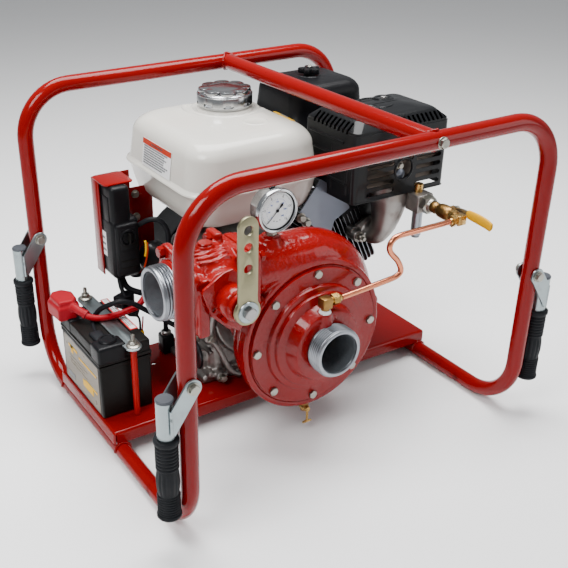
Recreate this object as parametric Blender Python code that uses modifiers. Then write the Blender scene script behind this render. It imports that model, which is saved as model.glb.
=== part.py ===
"""Portable fire pump: engine-driven centrifugal pump in a tube frame with fold-down handles.

X runs along the base plate (battery at -X, muffler at +X), the suction nozzle faces -Y, Z is up.
The origin is on the ground, midway between the four legs.  All sizes are in metres.
"""

import math

import bmesh
import bpy
from mathutils import Vector

# ---- Driving dimensions -------------------------------------------------------------------

GAP = 0.0003                # clearance between touching pieces

TUBE_R = 0.0127             # frame tube, 25.4 mm outside
HALF_LENGTH = 0.298         # leg axes in X
HALF_WIDTH = 0.2637         # leg axes in Y
TOP_Z = 0.504               # axis of the top tubes
TOP_BEND = 0.080
FOOT_BEND = 0.085
CROSS_X = 0.073             # axis of the top cross tube
HOOP_BOLT_X = 0.075         # bolt head on the front hoop

PLATE_HALF_X = 0.3105
PLATE_FRONT_Y = -0.042
PLATE_REAR_Y = 0.1755
PLATE_TOP = 0.047
SHEET = 0.003

PIVOT_Z = 0.2583            # handle pivots
PIVOT_R = 0.0042
HANDLE_OFFSET = 0.032       # handle tube axis outboard of the leg axis
HANDLE_R = 0.0118
HANDLE_TOP = PIVOT_Z - 0.0155
HANDLE_BOTTOM = 0.067
GRIP_TOP = 0.187
GRIP_BOTTOM = 0.063

BATTERY_X = (-0.308, -0.222)
BATTERY_Y = (0.001, 0.156)
BATTERY_CASE_TOP = 0.142
BATTERY_TOP = 0.167
STRAP_X = -0.256
STRAP_Z = BATTERY_TOP + GAP
ROD_Y = (-0.011, 0.172)

AXIS_X = -0.010             # crankshaft and pump axis
AXIS_Z = 0.176
VOLUTE_Y = -0.092           # plane of the volute's channel
COVER_BACK_Y = -0.1283
HUB_FRONT_Y = -0.172
SUCTION_RIM_Y = -0.200
PORT_R = 0.0395             # outside of both hose threads
BORE_R = 0.032
COVER_R = 0.123
BOLT_CIRCLE_R = 0.105
COVER_BOLTS = 8

CHANNEL_Z = 0.294            # axis of the discharge
CHANNEL_R = 0.042
DISCHARGE_FLANGE_X = -0.1215
VALVE_X = -0.172
VALVE_END_X = -0.226
DISCHARGE_RIM_X = -0.258
BALL_R = 0.0405
LEVER_Y = -0.1995
LEVER_THICK = 0.005
LEVER_REACH = 0.136
LEVER_HOLES = (0.063, 0.093, 0.117)
GAUGE_X = -0.069
GAUGE_Z = 0.386
GAUGE_FRONT_Y = -0.118
GAUGE_R = 0.033

CRANKCASE_X = (-0.115, 0.085)
CRANKCASE_Y = (-0.005, 0.150)
CRANKCASE_TOP = 0.270
CYLINDER_TILT = math.radians(25.0)
CYLINDER_Y = (0.004, 0.114)

TANK_X = (-0.145, 0.100)
TANK_Y = (-0.015, 0.258)
TANK_LIP_Z = 0.378
TANK_TOP = 0.454
TANK_BOTTOM = 0.335
CAP_AT = (0.020, 0.180)
CAP_R = 0.046

MUFFLER_X = (0.1012, 0.288)
MUFFLER_Y = (-0.070, 0.064)
MUFFLER_Z = (0.338, 0.445)

CLEANER_X = (0.110, 0.262)
CLEANER_Y = (0.105, 0.243)
CLEANER_Z = (0.370, 0.412, 0.484)

CONTROL_X = (-0.222, -0.175)
CONTROL_Y = (0.120, 0.172)
CONTROL_Z = (0.216, 0.372)

LINE_Y = -0.167             # plane of the copper line
ELBOW_X = -0.016
PRIMER_X = 0.2345
PRIMER_Z = 0.3265
PRIMER_VALVE_Y = -0.136
PRIMER_REACH = 0.080
COPPER_R = 0.0045

# ---- Scene, collections and materials -----------------------------------------------------

for old in list(bpy.data.objects):
    bpy.data.objects.remove(old, do_unlink=True)

PART = bpy.data.collections.new("portable_fire_pump")
CUTTERS = bpy.data.collections.new("cutters")
for folder in (PART, CUTTERS):
    bpy.context.scene.collection.children.link(folder)

PALETTE = {
    "red_paint": ((0.42, 0.010, 0.010), 0.25, 0.0),
    "zinc": ((0.55, 0.58, 0.58), 0.35, 1.0),
    "rubber": ((0.015, 0.015, 0.016), 0.7, 0.0),
    "black_plastic": ((0.012, 0.012, 0.013), 0.45, 0.0),
    "red_plastic": ((0.55, 0.02, 0.03), 0.5, 0.0),
    "aluminium": ((0.55, 0.54, 0.51), 0.45, 1.0),
    "steel": ((0.45, 0.45, 0.45), 0.3, 1.0),
    "ivory_paint": ((0.72, 0.70, 0.64), 0.25, 0.0),
    "black_paint": ((0.012, 0.012, 0.013), 0.35, 0.0),
    "brass": ((0.60, 0.38, 0.12), 0.3, 1.0),
    "copper": ((0.75, 0.35, 0.22), 0.3, 1.0),
    "cadmium": ((0.55, 0.53, 0.42), 0.35, 1.0),
    "yellow_plastic": ((0.75, 0.42, 0.02), 0.5, 0.0),
    "engine_black": ((0.012, 0.012, 0.013), 0.4, 0.0),
    "bronze": ((0.45, 0.27, 0.10), 0.4, 1.0),
}


def material(name):
    """Return the named finish, made on first use."""
    if name in bpy.data.materials:
        return bpy.data.materials[name]
    color, roughness, metallic = PALETTE[name]
    finish = bpy.data.materials.new(name)
    finish.use_nodes = True
    shader = finish.node_tree.nodes["Principled BSDF"]
    shader.inputs["Base Color"].default_value = (*color, 1.0)
    shader.inputs["Roughness"].default_value = roughness
    shader.inputs["Metallic"].default_value = metallic
    return finish


# ---- Modelling helpers --------------------------------------------------------------------

FACING = {
    "up": (0.0, 0.0, 0.0),
    "down": (math.pi, 0.0, 0.0),
    "front": (math.pi / 2, 0.0, 0.0),
    "back": (-math.pi / 2, 0.0, 0.0),
    "left": (0.0, -math.pi / 2, 0.0),
    "right": (0.0, math.pi / 2, 0.0),
}


def link_mesh(name, bm, at=(0.0, 0.0, 0.0), turn=(0.0, 0.0, 0.0)):
    """Turn a bmesh into an object in the part's collection."""
    mesh = bpy.data.meshes.new(name)
    bmesh.ops.recalc_face_normals(bm, faces=bm.faces)
    bm.to_mesh(mesh)
    bm.free()
    obj = bpy.data.objects.new(name, mesh)
    obj.location = at
    obj.rotation_euler = turn
    PART.objects.link(obj)
    return obj


def box(name, x, y, z, bevel=0.0, segments=1):
    """A block given by its (low, high) pair on each axis, with its edges bevelled."""
    bm = bmesh.new()
    bmesh.ops.create_cube(bm, size=1.0)
    size = Vector((x[1] - x[0], y[1] - y[0], z[1] - z[0]))
    middle = Vector((x[0] + x[1], y[0] + y[1], z[0] + z[1])) / 2
    for vert in bm.verts:
        vert.co = Vector(a * b for a, b in zip(vert.co, size))
    obj = link_mesh(name, bm, middle)
    if bevel:
        round_edges(obj, bevel, segments)
    return obj


def round_edges(obj, width, segments=1):
    """Bevel the sharp edges."""
    edge = obj.modifiers.new("rounded", "BEVEL")
    edge.width = width
    edge.segments = segments
    edge.limit_method = "ANGLE"
    edge.angle_limit = math.radians(40)


def rod(name, start, end, radius, sides=20, end_radius=None):
    """A cylinder, cone or (with six sides) hexagon between two points."""
    start, end = Vector(start), Vector(end)
    along = end - start
    bm = bmesh.new()
    top = radius if end_radius is None else end_radius
    bmesh.ops.create_cone(bm, cap_ends=True, segments=sides, radius1=radius, radius2=top,
                          depth=along.length)
    obj = link_mesh(name, bm, (start + end) / 2)
    obj.rotation_mode = "QUATERNION"
    obj.rotation_quaternion = along.to_track_quat("Z", "Y")
    return obj


def turned(name, profile, at, facing="up", steps=32):
    """A turned solid: (radius, height) points from the top down the outer side.

    A profile that starts and ends on the axis is solid, and any other one closes on itself
    as a ring.  Heights run towards the side that the piece faces.
    """
    bm = bmesh.new()
    verts = [bm.verts.new((radius, 0.0, height)) for radius, height in profile]
    for first, second in zip(verts, verts[1:]):
        bm.edges.new((first, second))
    if profile[0][0] > 0.0:
        bm.edges.new((verts[-1], verts[0]))
    mesh = bpy.data.meshes.new(name)
    bm.to_mesh(mesh)
    bm.free()
    obj = bpy.data.objects.new(name, mesh)
    obj.location = at
    obj.rotation_euler = FACING[facing]
    PART.objects.link(obj)
    screw = obj.modifiers.new("turned", "SCREW")
    screw.steps = steps
    screw.render_steps = steps
    screw.use_merge_vertices = True
    screw.merge_threshold = 0.00001
    screw.use_normal_calculate = False
    return obj


def curve_solid(name, points, radii, resolution):
    """A round bar along points, its radius given at each point, as a closed mesh."""
    data = bpy.data.curves.new(name, "CURVE")
    data.dimensions = "3D"
    data.bevel_depth = 1.0
    data.bevel_resolution = resolution
    data.use_fill_caps = True
    spline = data.splines.new("POLY")
    spline.points.add(len(points) - 1)
    for point, place, radius in zip(spline.points, points, radii):
        point.co = (*place, 1.0)
        point.radius = radius
    return welded_mesh(name, data)


def welded_mesh(name, data):
    """Make a mesh object of a curve, with its caps joined on."""
    guide = bpy.data.objects.new(name + "_curve", data)
    PART.objects.link(guide)
    bpy.context.view_layer.update()
    evaluated = guide.evaluated_get(bpy.context.evaluated_depsgraph_get())
    mesh = bpy.data.meshes.new_from_object(evaluated)
    bm = bmesh.new()
    bm.from_mesh(mesh)
    bmesh.ops.remove_doubles(bm, verts=bm.verts, dist=0.000005)
    bmesh.ops.recalc_face_normals(bm, faces=bm.faces)
    bm.to_mesh(mesh)
    bm.free()
    obj = bpy.data.objects.new(name, mesh)
    obj.matrix_world = guide.matrix_world
    PART.objects.link(obj)
    bpy.data.objects.remove(guide, do_unlink=True)
    return obj


def bar(name, points, radius, resolution=4):
    """A bent tube or wire of one radius."""
    return curve_solid(name, points, [radius] * len(points), resolution)


def slab(name, outline, holes, thickness, at, facing="front"):
    """A flat plate cut to an outline, with round holes given as (x, y, radius)."""
    data = bpy.data.curves.new(name, "CURVE")
    data.dimensions = "2D"
    data.fill_mode = "BOTH"
    data.extrude = thickness / 2
    loops = [outline] + [circle(x, y, radius, 16) for x, y, radius in holes]
    for loop in loops:
        spline = data.splines.new("POLY")
        spline.points.add(len(loop) - 1)
        spline.use_cyclic_u = True
        for point, place in zip(spline.points, loop):
            point.co = (place[0], place[1], 0.0, 1.0)
    obj = welded_mesh(name, data)
    obj.location = at
    obj.rotation_euler = FACING[facing]
    return obj


def circle(x, y, radius, sides, start=0.0, sweep=2 * math.pi):
    """Points round a circle, or along an arc when the sweep is less than a turn."""
    full = abs(sweep) > 6.28
    steps = sides if full else sides - 1
    angles = [start + sweep * i / steps for i in range(sides)]
    return [(x + radius * math.cos(a), y + radius * math.sin(a)) for a in angles]


def arc3(centre, first, second, steps):
    """A quarter turn about a centre, from centre + first to centre + second."""
    centre, first, second = Vector(centre), Vector(first), Vector(second)
    turn = [math.pi / 2 * i / steps for i in range(steps + 1)]
    return [tuple(centre + first * math.cos(a) + second * math.sin(a)) for a in turn]


def smooth(points, per_span=6):
    """A smooth curve through the points (Catmull-Rom)."""
    ring = [Vector(p) for p in points]
    ring = [ring[0] * 2 - ring[1]] + ring + [ring[-1] * 2 - ring[-2]]
    route = []
    for a, b, c, d in zip(ring, ring[1:], ring[2:], ring[3:]):
        for i in range(per_span):
            t = i / per_span
            route.append(0.5 * (2 * b + (c - a) * t + (2 * a - 5 * b + 4 * c - d) * t * t
                                + (3 * b - a - 3 * c + d) * t ** 3))
    route.append(ring[-2])
    return route


def operand(tool):
    """Hide a solid that only cuts or joins another one."""
    tool.hide_render = True
    tool.display_type = "WIRE"
    if tool.name in PART.objects:
        PART.objects.unlink(tool)
        CUTTERS.objects.link(tool)


def combine(obj, operation, tools):
    """Add one Boolean for each tool."""
    for tool in tools:
        operand(tool)
        step = obj.modifiers.new(operation.lower(), "BOOLEAN")
        step.operation = operation
        step.solver = "EXACT"
        step.object = tool
    return obj


def join(obj, *tools):
    """Weld or cast other solids onto a piece."""
    return combine(obj, "UNION", tools)


def cut(obj, *tools):
    """Take other solids out of a piece."""
    return combine(obj, "DIFFERENCE", tools)


def piece(obj, name, finish):
    """Name a finished sub-part, give it its material and shade its round faces smooth."""
    obj.name = name
    obj.data.name = name
    obj.data.materials.clear()
    obj.data.materials.append(material(finish))
    obj.data.shade_smooth()
    obj.data.set_sharp_from_angle(angle=math.radians(35))
    return obj


# ---- Frame --------------------------------------------------------------------------------

BEND_STEPS = 6
FOOT_STUB = 0.005           # straight length past each foot bend


def hoop(name, side):
    """An inverted U whose two legs turn inwards at the foot (side is -1 front, +1 rear)."""
    y = side * HALF_WIDTH
    foot_y = side * (HALF_WIDTH - FOOT_BEND)
    foot_z = TUBE_R + FOOT_BEND
    shoulder_z = TOP_Z - TOP_BEND
    shoulder_x = HALF_LENGTH - TOP_BEND
    out, up = (0, side * FOOT_BEND, 0), (0, 0, -FOOT_BEND)
    points = [(-HALF_LENGTH, foot_y - side * FOOT_STUB, TUBE_R)]
    points += arc3((-HALF_LENGTH, foot_y, foot_z), up, out, BEND_STEPS)
    points += arc3((-shoulder_x, y, shoulder_z), (-TOP_BEND, 0, 0), (0, 0, TOP_BEND), BEND_STEPS)
    points += arc3((shoulder_x, y, shoulder_z), (0, 0, TOP_BEND), (TOP_BEND, 0, 0), BEND_STEPS)
    points += arc3((HALF_LENGTH, foot_y, foot_z), out, up, BEND_STEPS)
    points += [(HALF_LENGTH, foot_y - side * FOOT_STUB, TUBE_R)]
    tube = bar(name + "_tube", points, TUBE_R, 4)
    drills = [
        rod(f"{name}_drill_{x_side}", (x_side * HALF_LENGTH, y - 0.02, PIVOT_Z),
            (x_side * HALF_LENGTH, y + 0.02, PIVOT_Z), PIVOT_R + 0.0005, 12)
        for x_side in (-1, 1)
    ]
    piece(cut(tube, *drills), name, "red_paint")


def frame():
    """The welded tube frame and the folded base plate."""
    hoop("front_hoop", -1)
    hoop("rear_hoop", 1)
    skid_end = HALF_WIDTH - FOOT_BEND - FOOT_STUB - GAP
    for name, side in (("skid_tube_left", -1), ("skid_tube_right", 1)):
        x = side * HALF_LENGTH
        piece(rod(name, (x, -skid_end, TUBE_R), (x, skid_end, TUBE_R), TUBE_R, 16), name, "red_paint")
    cross = bar("cross", [(CROSS_X, -HALF_WIDTH, TOP_Z), (CROSS_X, HALF_WIDTH, TOP_Z)], TUBE_R, 4)
    copes = [
        rod(f"cope_{side}", (CROSS_X - 0.05, side * HALF_WIDTH, TOP_Z),
            (CROSS_X + 0.05, side * HALF_WIDTH, TOP_Z), TUBE_R + GAP, 16)
        for side in (-1, 1)
    ]
    ends = [
        box(f"cross_end_{side}", (CROSS_X - 0.03, CROSS_X + 0.03),
            sorted((side * (HALF_WIDTH - 0.001), side * (HALF_WIDTH + 0.03))),
            (TOP_Z - 0.03, TOP_Z + 0.03))
        for side in (-1, 1)
    ]
    piece(cut(cross, *ends, *copes), "top_cross_tube", "red_paint")
    face_y = -HALF_WIDTH - TUBE_R
    head = rod("bolt_head", (HOOP_BOLT_X, face_y - 0.0003, TOP_Z), (HOOP_BOLT_X, face_y - 0.0055, TOP_Z), 0.0078, 6)
    piece(head, "hoop_bolt", "zinc")
    base_plate()


def base_plate():
    """A folded pan that rests its flanges on the skid tubes."""
    flange_z = (2 * TUBE_R + GAP, PLATE_TOP)
    plate = box("plate", (-PLATE_HALF_X, PLATE_HALF_X), (PLATE_FRONT_Y, PLATE_REAR_Y),
                flange_z, 0.0025, 2)
    hollow = box("plate_hollow", (-PLATE_HALF_X + SHEET, PLATE_HALF_X - SHEET),
                 (PLATE_FRONT_Y + SHEET, PLATE_REAR_Y - SHEET), (0.0, PLATE_TOP - SHEET))
    slits = [
        box(f"corner_slit_{side}", sorted((side * (PLATE_HALF_X - 0.0045), side * (PLATE_HALF_X - SHEET))),
            (PLATE_FRONT_Y - 0.01, PLATE_FRONT_Y + SHEET + 0.002), (0.0, PLATE_TOP - 0.002))
        for side in (-1, 1)
    ]
    piece(cut(plate, hollow, *slits), "base_plate", "red_paint")


# ---- Carrying handles ---------------------------------------------------------------------

def handle(name, x_side, y_side):
    """One fold-down handle, hanging beside its leg: a steel arm and a rubber grip."""
    leg_x, leg_y = x_side * HALF_LENGTH, y_side * HALF_WIDTH
    x = x_side * (HALF_LENGTH + HANDLE_OFFSET)
    arm = rod("arm", (x, leg_y, HANDLE_BOTTOM), (x, leg_y, HANDLE_TOP), HANDLE_R, 14)
    plate_y = TUBE_R + 0.0006
    extras = []
    for side in (-1, 1):
        middle_y = leg_y + side * (plate_y + SHEET / 2)
        outline = circle(0, 0, 0.0118, 6, math.radians(-40), math.radians(175))
        outline += [(-0.0295, -0.0225), (-0.0295, -0.0600)]
        outline = [(-x_side * px, py) for px, py in outline]
        extras.append(slab("ear", outline, [], SHEET, (leg_x, middle_y, PIVOT_Z)))
        bead_x = leg_x + x_side * 0.0295
        extras.append(rod("bead", (bead_x, leg_y + side * (plate_y - 0.0005), PIVOT_Z - 0.059),
                          (bead_x, leg_y + side * (plate_y - 0.0005), PIVOT_Z - 0.0235), 0.0025, 8))
        tip = leg_y + side * (plate_y + SHEET + 0.0045)
        extras.append(rod("bolt_end", (leg_x, middle_y, PIVOT_Z), (leg_x, tip, PIVOT_Z), 0.0072, 6))
    pin_end = plate_y + SHEET / 2
    extras.append(rod("pin", (leg_x, leg_y - pin_end, PIVOT_Z), (leg_x, leg_y + pin_end, PIVOT_Z),
                      PIVOT_R, 12))
    piece(join(arm, *extras), f"handle_arm_{name}", "zinc")
    grip = turned("grip", [(0.0168, GRIP_TOP), (0.0168, GRIP_TOP - 0.004), (0.0152, GRIP_TOP - 0.006),
                           (0.0152, GRIP_BOTTOM + 0.006), (0.0168, GRIP_BOTTOM + 0.004),
                           (0.0168, GRIP_BOTTOM), (0.0060, GRIP_BOTTOM),
                           (0.0060, HANDLE_BOTTOM - GAP), (HANDLE_R + 0.0006, HANDLE_BOTTOM - GAP),
                           (HANDLE_R + 0.0006, GRIP_TOP)], (x, leg_y, 0.0), "up", 14)
    piece(grip, f"handle_grip_{name}", "rubber")


def handles():
    """The four handles, one at each leg."""
    for name, x_side, y_side in (("rear_left", -1, 1), ("front_left", -1, -1),
                                 ("front_right", 1, -1), ("rear_right", 1, 1)):
        handle(name, x_side, y_side)


# ---- Battery ------------------------------------------------------------------------------

POSITIVE_AT = (-0.288, 0.132)
NEGATIVE_AT = (-0.287, 0.028)


def battery():
    """The battery, its hold-down and its terminal covers."""
    piece(box("case", BATTERY_X, BATTERY_Y, (PLATE_TOP + GAP, BATTERY_CASE_TOP), 0.003),
          "battery_case", "black_plastic")
    lid = box("lid", BATTERY_X, BATTERY_Y, (BATTERY_CASE_TOP + GAP, BATTERY_TOP), 0.003)
    hood_x = (BATTERY_X[0] - 0.002, BATTERY_X[0] + 0.032)
    hood = box("hood", hood_x, (BATTERY_Y[0] - 0.002, BATTERY_Y[0] + 0.034),
               (BATTERY_CASE_TOP + 0.004, BATTERY_TOP + 0.006), 0.003)
    piece(join(lid, hood), "battery_lid", "black_plastic")
    ends = [circle(0, y, 0.013, 9, start, math.pi)
            for y, start in ((ROD_Y[1], 0.0), (ROD_Y[0], math.pi))]
    strap = slab("strap", ends[0] + ends[1], [(0, y, 0.0046) for y in ROD_Y], SHEET,
                 (STRAP_X, 0, STRAP_Z + SHEET / 2), "up")
    piece(strap, "clamp_strap", "zinc")
    for name, y in zip(("front", "rear"), ROD_Y):
        sleeve = rod("sleeve", (STRAP_X, y, PLATE_TOP + GAP), (STRAP_X, y, STRAP_Z - GAP), 0.0052, 12)
        stud = rod("stud", (STRAP_X, y, STRAP_Z - 0.01), (STRAP_X, y, STRAP_Z + 0.019), 0.0032, 10)
        nut_z = STRAP_Z + SHEET + GAP
        nut = rod("nut", (STRAP_X, y, nut_z), (STRAP_X, y, nut_z + 0.006), 0.0072, 6)
        piece(join(sleeve, stud, nut), f"clamp_rod_{name}", "red_plastic")
    x, y = POSITIVE_AT
    boot = box("boot", (x - 0.017, x + 0.014), (y - 0.013, y + 0.021), (BATTERY_TOP + GAP, 0.190), 0.006, 2)
    piece(boot, "positive_boot", "red_plastic")


POSITIVE_ROUTE = [(-0.2735, 0.118, 0.181), (-0.262, 0.104, 0.177), (-0.246, 0.092, 0.176),
                  (-0.222, 0.084, 0.181), (-0.200, 0.080, 0.190), (-0.182, 0.082, 0.204),
                  (-0.166, 0.086, 0.216)]
NEGATIVE_ROUTE = [(-0.284, 0.0395, 0.173), (-0.279, 0.052, 0.183), (-0.264, 0.066, 0.193),
                  (-0.240, 0.074, 0.197), (-0.206, 0.070, 0.185), (-0.170, 0.060, 0.160),
                  (-0.140, 0.050, 0.136), (-0.124, 0.046, 0.122)]


def battery_cables():
    """Both leads, from the battery's terminals to the starter and the crankcase."""
    for name, route, radius, finish in (("positive_cable", POSITIVE_ROUTE, 0.0045, "red_plastic"),
                                        ("negative_cable", NEGATIVE_ROUTE, 0.0040, "rubber")):
        points = smooth(route, 2)
        piece(bar(name, points, radius, 1), name, finish)


# ---- Start control ------------------------------------------------------------------------

def start_control():
    """The control box on its folded bracket, with the key switch."""
    body = box("control", CONTROL_X, CONTROL_Y, CONTROL_Z, 0.006, 2)
    step = box("control_step", (CONTROL_X[1] - 0.012, CONTROL_X[1] + 0.01),
               (CONTROL_Y[0] - 0.01, CONTROL_Y[1] + 0.01), (CONTROL_Z[0] + 0.098, CONTROL_Z[1] + 0.01))
    panel = box("control_panel", (CONTROL_X[0] + 0.004, CONTROL_X[1] - 0.002),
                (CONTROL_Y[0] - 0.007, CONTROL_Y[0] + 0.01), (CONTROL_Z[0] + 0.004, CONTROL_Z[0] + 0.096),
                0.005)
    key_x, key_z = -0.199, 0.290
    face_y = CONTROL_Y[0] - 0.007
    well = rod("key_well", (key_x, face_y - 0.01, key_z), (key_x, face_y + 0.004, key_z), 0.0113, 20)
    piece(cut(join(body, panel), step, well), "control_box", "black_plastic")
    key = rod("key", (key_x, face_y + 0.0037, key_z), (key_x, face_y - 0.002, key_z), 0.0105, 20)
    tab = box("key_tab", (key_x - 0.0015, key_x + 0.0015), (face_y - 0.012, face_y),
              (key_z - 0.008, key_z + 0.008))
    piece(join(key, tab), "key_switch", "steel")
    back_y = CONTROL_Y[1] + 0.0125
    left_x = CONTROL_X[0] - GAP - 0.002
    top_z = CONTROL_Z[1] + GAP
    back = box("bracket", (left_x, -0.158), (back_y, back_y + 0.002), (CONTROL_Z[0], top_z + 0.002))
    top = box("bracket_top", (left_x, CONTROL_X[1] + 0.008), (CONTROL_Y[0] - 0.006, back_y + 0.001),
              (top_z, top_z + 0.002))
    side = box("bracket_side", (left_x, left_x + 0.002), (CONTROL_Y[1] - 0.010, back_y + 0.001),
               (CONTROL_Z[0], top_z + 0.001))
    tab = box("bracket_tab", (-0.160, -0.1405), (back_y, back_y + 0.002), (0.296, 0.345))
    piece(join(back, top, side, tab), "control_bracket", "red_paint")


# ---- Engine -------------------------------------------------------------------------------

def engine_block():
    """Crankcase with its bearing bores, and the finned cylinder with the head."""
    case = box("crankcase", CRANKCASE_X, CRANKCASE_Y, (PLATE_TOP + GAP, CRANKCASE_TOP), 0.016, 2)
    foot = box("crankcase_foot", (CRANKCASE_X[0] - 0.012, CRANKCASE_X[1] + 0.012),
               (CRANKCASE_Y[0] + 0.012, CRANKCASE_Y[1] - 0.012), (PLATE_TOP + GAP, PLATE_TOP + 0.016), 0.004)
    front, rear = CRANKCASE_Y
    chamber = turned("crank_chamber", [(0.0, rear + 0.01), (0.0205, rear + 0.01), (0.0205, rear - 0.014),
                                       (0.062, rear - 0.014), (0.062, front + 0.014),
                                       (0.0205, front + 0.014), (0.0205, front - 0.01), (0.0, front - 0.01)],
                     (AXIS_X, 0, AXIS_Z), "back", 24)
    piece(cut(join(case, foot), chamber), "crankcase", "aluminium")
    cylinder_block()


def along_cylinder(distance, across=0.0):
    """The (x, z) of a place along the tilted cylinder's axis, and across it."""
    c, s = math.cos(CYLINDER_TILT), math.sin(CYLINDER_TILT)
    return AXIS_X + distance * c - across * s, AXIS_Z + distance * s + across * c


FIN_START = 0.118
FIN_PITCH = 0.0125
FIN_COUNT = 8
FIN_LOW = -0.070


def tilted_block(name, near, far, low, high, y):
    """A box aligned with the cylinder: near/far along its axis, low/high across it."""
    middle_x, middle_z = along_cylinder((near + far) / 2, (low + high) / 2)
    half_x, half_z = (far - near) / 2, (high - low) / 2
    block = box(name, (-half_x, half_x), y, (-half_z, half_z))
    block.location = (middle_x, (y[0] + y[1]) / 2, middle_z)
    block.rotation_euler = (0.0, -CYLINDER_TILT, 0.0)
    return block


def cylinder_block():
    """Barrel, head and valve cover in one line with their cooling fins."""
    low_y, high_y = CYLINDER_Y
    core = tilted_block("cylinder", 0.112, 0.216, -0.036, 0.036, (low_y + 0.012, high_y - 0.012))
    fins = []
    for index in range(FIN_COUNT):
        near = FIN_START + index * FIN_PITCH
        fins.append(tilted_block(f"fin_{index}", near, near + 0.003, FIN_LOW, 0.050, (low_y, high_y)))
    cover = tilted_block("valve_cover", 0.2145, 0.242, -0.046, 0.040, (low_y + 0.008, high_y - 0.008))
    trim = box("block_trim", (-0.1, CRANKCASE_X[1] + GAP), (-0.05, 0.2), (0.0, CRANKCASE_TOP + 0.03))
    piece(cut(join(core, *fins, cover), trim), "cylinder_block", "engine_black")


def blower():
    """Fan housing and recoil starter on the rear of the engine."""
    at = (AXIS_X, 0, AXIS_Z)
    housing = turned("blower", [(0.117, 0.232), (0.122, 0.222), (0.122, 0.153), (0.118, 0.153),
                                (0.118, 0.2285), (0.060, 0.2285), (0.060, 0.232)], at, "back", 24)
    piece(housing, "blower_housing", "black_paint")
    recoil = turned("recoil", [(0.0, 0.262), (0.055, 0.262), (0.092, 0.248), (0.098, 0.2323),
                               (0.094, 0.2323), (0.090, 0.246), (0.054, 0.2595), (0.0, 0.2595)],
                    at, "back", 24)
    guide = rod("rope_guide", (0.045, 0.240, 0.222), (0.045, 0.262, 0.222), 0.010, 12)
    hole = rod("rope_hole", (0.045, 0.230, 0.222), (0.045, 0.280, 0.222), 0.0035, 8)
    piece(cut(join(recoil, guide), hole), "recoil_cover", "black_paint")
    bar_y = 0.2745
    grip = rod("pull", (0.010, bar_y, 0.222), (0.080, bar_y, 0.222), 0.0085, 12)
    ferrule = rod("ferrule", (0.045, 0.2625, 0.222), (0.045, bar_y, 0.222), 0.006, 10)
    piece(join(grip, ferrule), "recoil_handle", "black_plastic")


def rotating_group():
    """Crankshaft with its pump end, flywheel with fan blades, and the pump impeller."""
    shaft = rod("shaft", (AXIS_X, -0.122, AXIS_Z), (AXIS_X, 0.215, AXIS_Z), 0.0125, 20)
    webs = []
    for name, y in (("front", (0.036, 0.050)), ("rear", (0.092, 0.106))):
        web = rod(f"web_{name}", (AXIS_X, y[0], AXIS_Z), (AXIS_X, y[1], AXIS_Z), 0.050, 20)
        webs.append(web)
    pin = rod("crank_pin", (AXIS_X + 0.030, 0.040, AXIS_Z), (AXIS_X + 0.030, 0.100, AXIS_Z), 0.015, 16)
    gap = box("crank_gap", (AXIS_X - 0.03, AXIS_X + 0.0149), (0.0502, 0.0918), (AXIS_Z - 0.03, AXIS_Z + 0.03))
    piece(join(cut(shaft, gap), *webs, pin), "crankshaft", "steel")
    bore = 0.0125 + GAP
    wheel = turned("flywheel", [(0.096, 0.176), (0.096, 0.160), (bore, 0.160), (bore, 0.176)],
                   (AXIS_X, 0, AXIS_Z), "back", 20)
    blades = []
    for index in range(6):
        angle = 2 * math.pi * index / 6
        start = Vector((AXIS_X, 0.175, AXIS_Z)) + 0.060 * Vector((math.cos(angle), 0, math.sin(angle)))
        blade = box(f"blade_{index}", (-0.028, 0.028), (-0.014, 0.014), (-0.0015, 0.0015))
        outward = Vector((math.cos(angle + 0.5), 0, math.sin(angle + 0.5)))
        blade.location = start + outward * 0.012 + Vector((0, 0.014, 0))
        blade.rotation_euler = (0.0, -angle - 0.5, 0.0)
        blades.append(blade)
    piece(join(wheel, *blades), "flywheel", "aluminium")
    impeller()


def impeller():
    """Closed impeller: two shrouds with five vanes between them."""
    bore = 0.0125 + GAP
    back = turned("impeller", [(bore, 0.118), (0.020, 0.118), (0.022, 0.0855), (0.080, 0.083),
                               (0.080, 0.079), (bore, 0.079)], (AXIS_X, 0, AXIS_Z), "front", 20)
    front = turned("shroud", [(0.036, 0.118), (0.036, 0.106), (0.080, 0.0995), (0.080, 0.0965),
                              (0.034, 0.103), (0.034, 0.118)], (AXIS_X, 0, AXIS_Z), "front", 20)
    vanes = []
    for index in range(5):
        angle = 2 * math.pi * index / 5
        vane = box(f"vane_{index}", (-0.024, 0.024), (-0.0125, 0.0125), (-0.0015, 0.0015))
        vane.location = (AXIS_X + 0.052 * math.cos(angle), -0.092, AXIS_Z + 0.052 * math.sin(angle))
        vane.rotation_euler = (0.0, -angle - 0.6, 0.0)
        vanes.append(vane)
    piece(join(back, *vanes, front), "impeller", "bronze")


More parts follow.
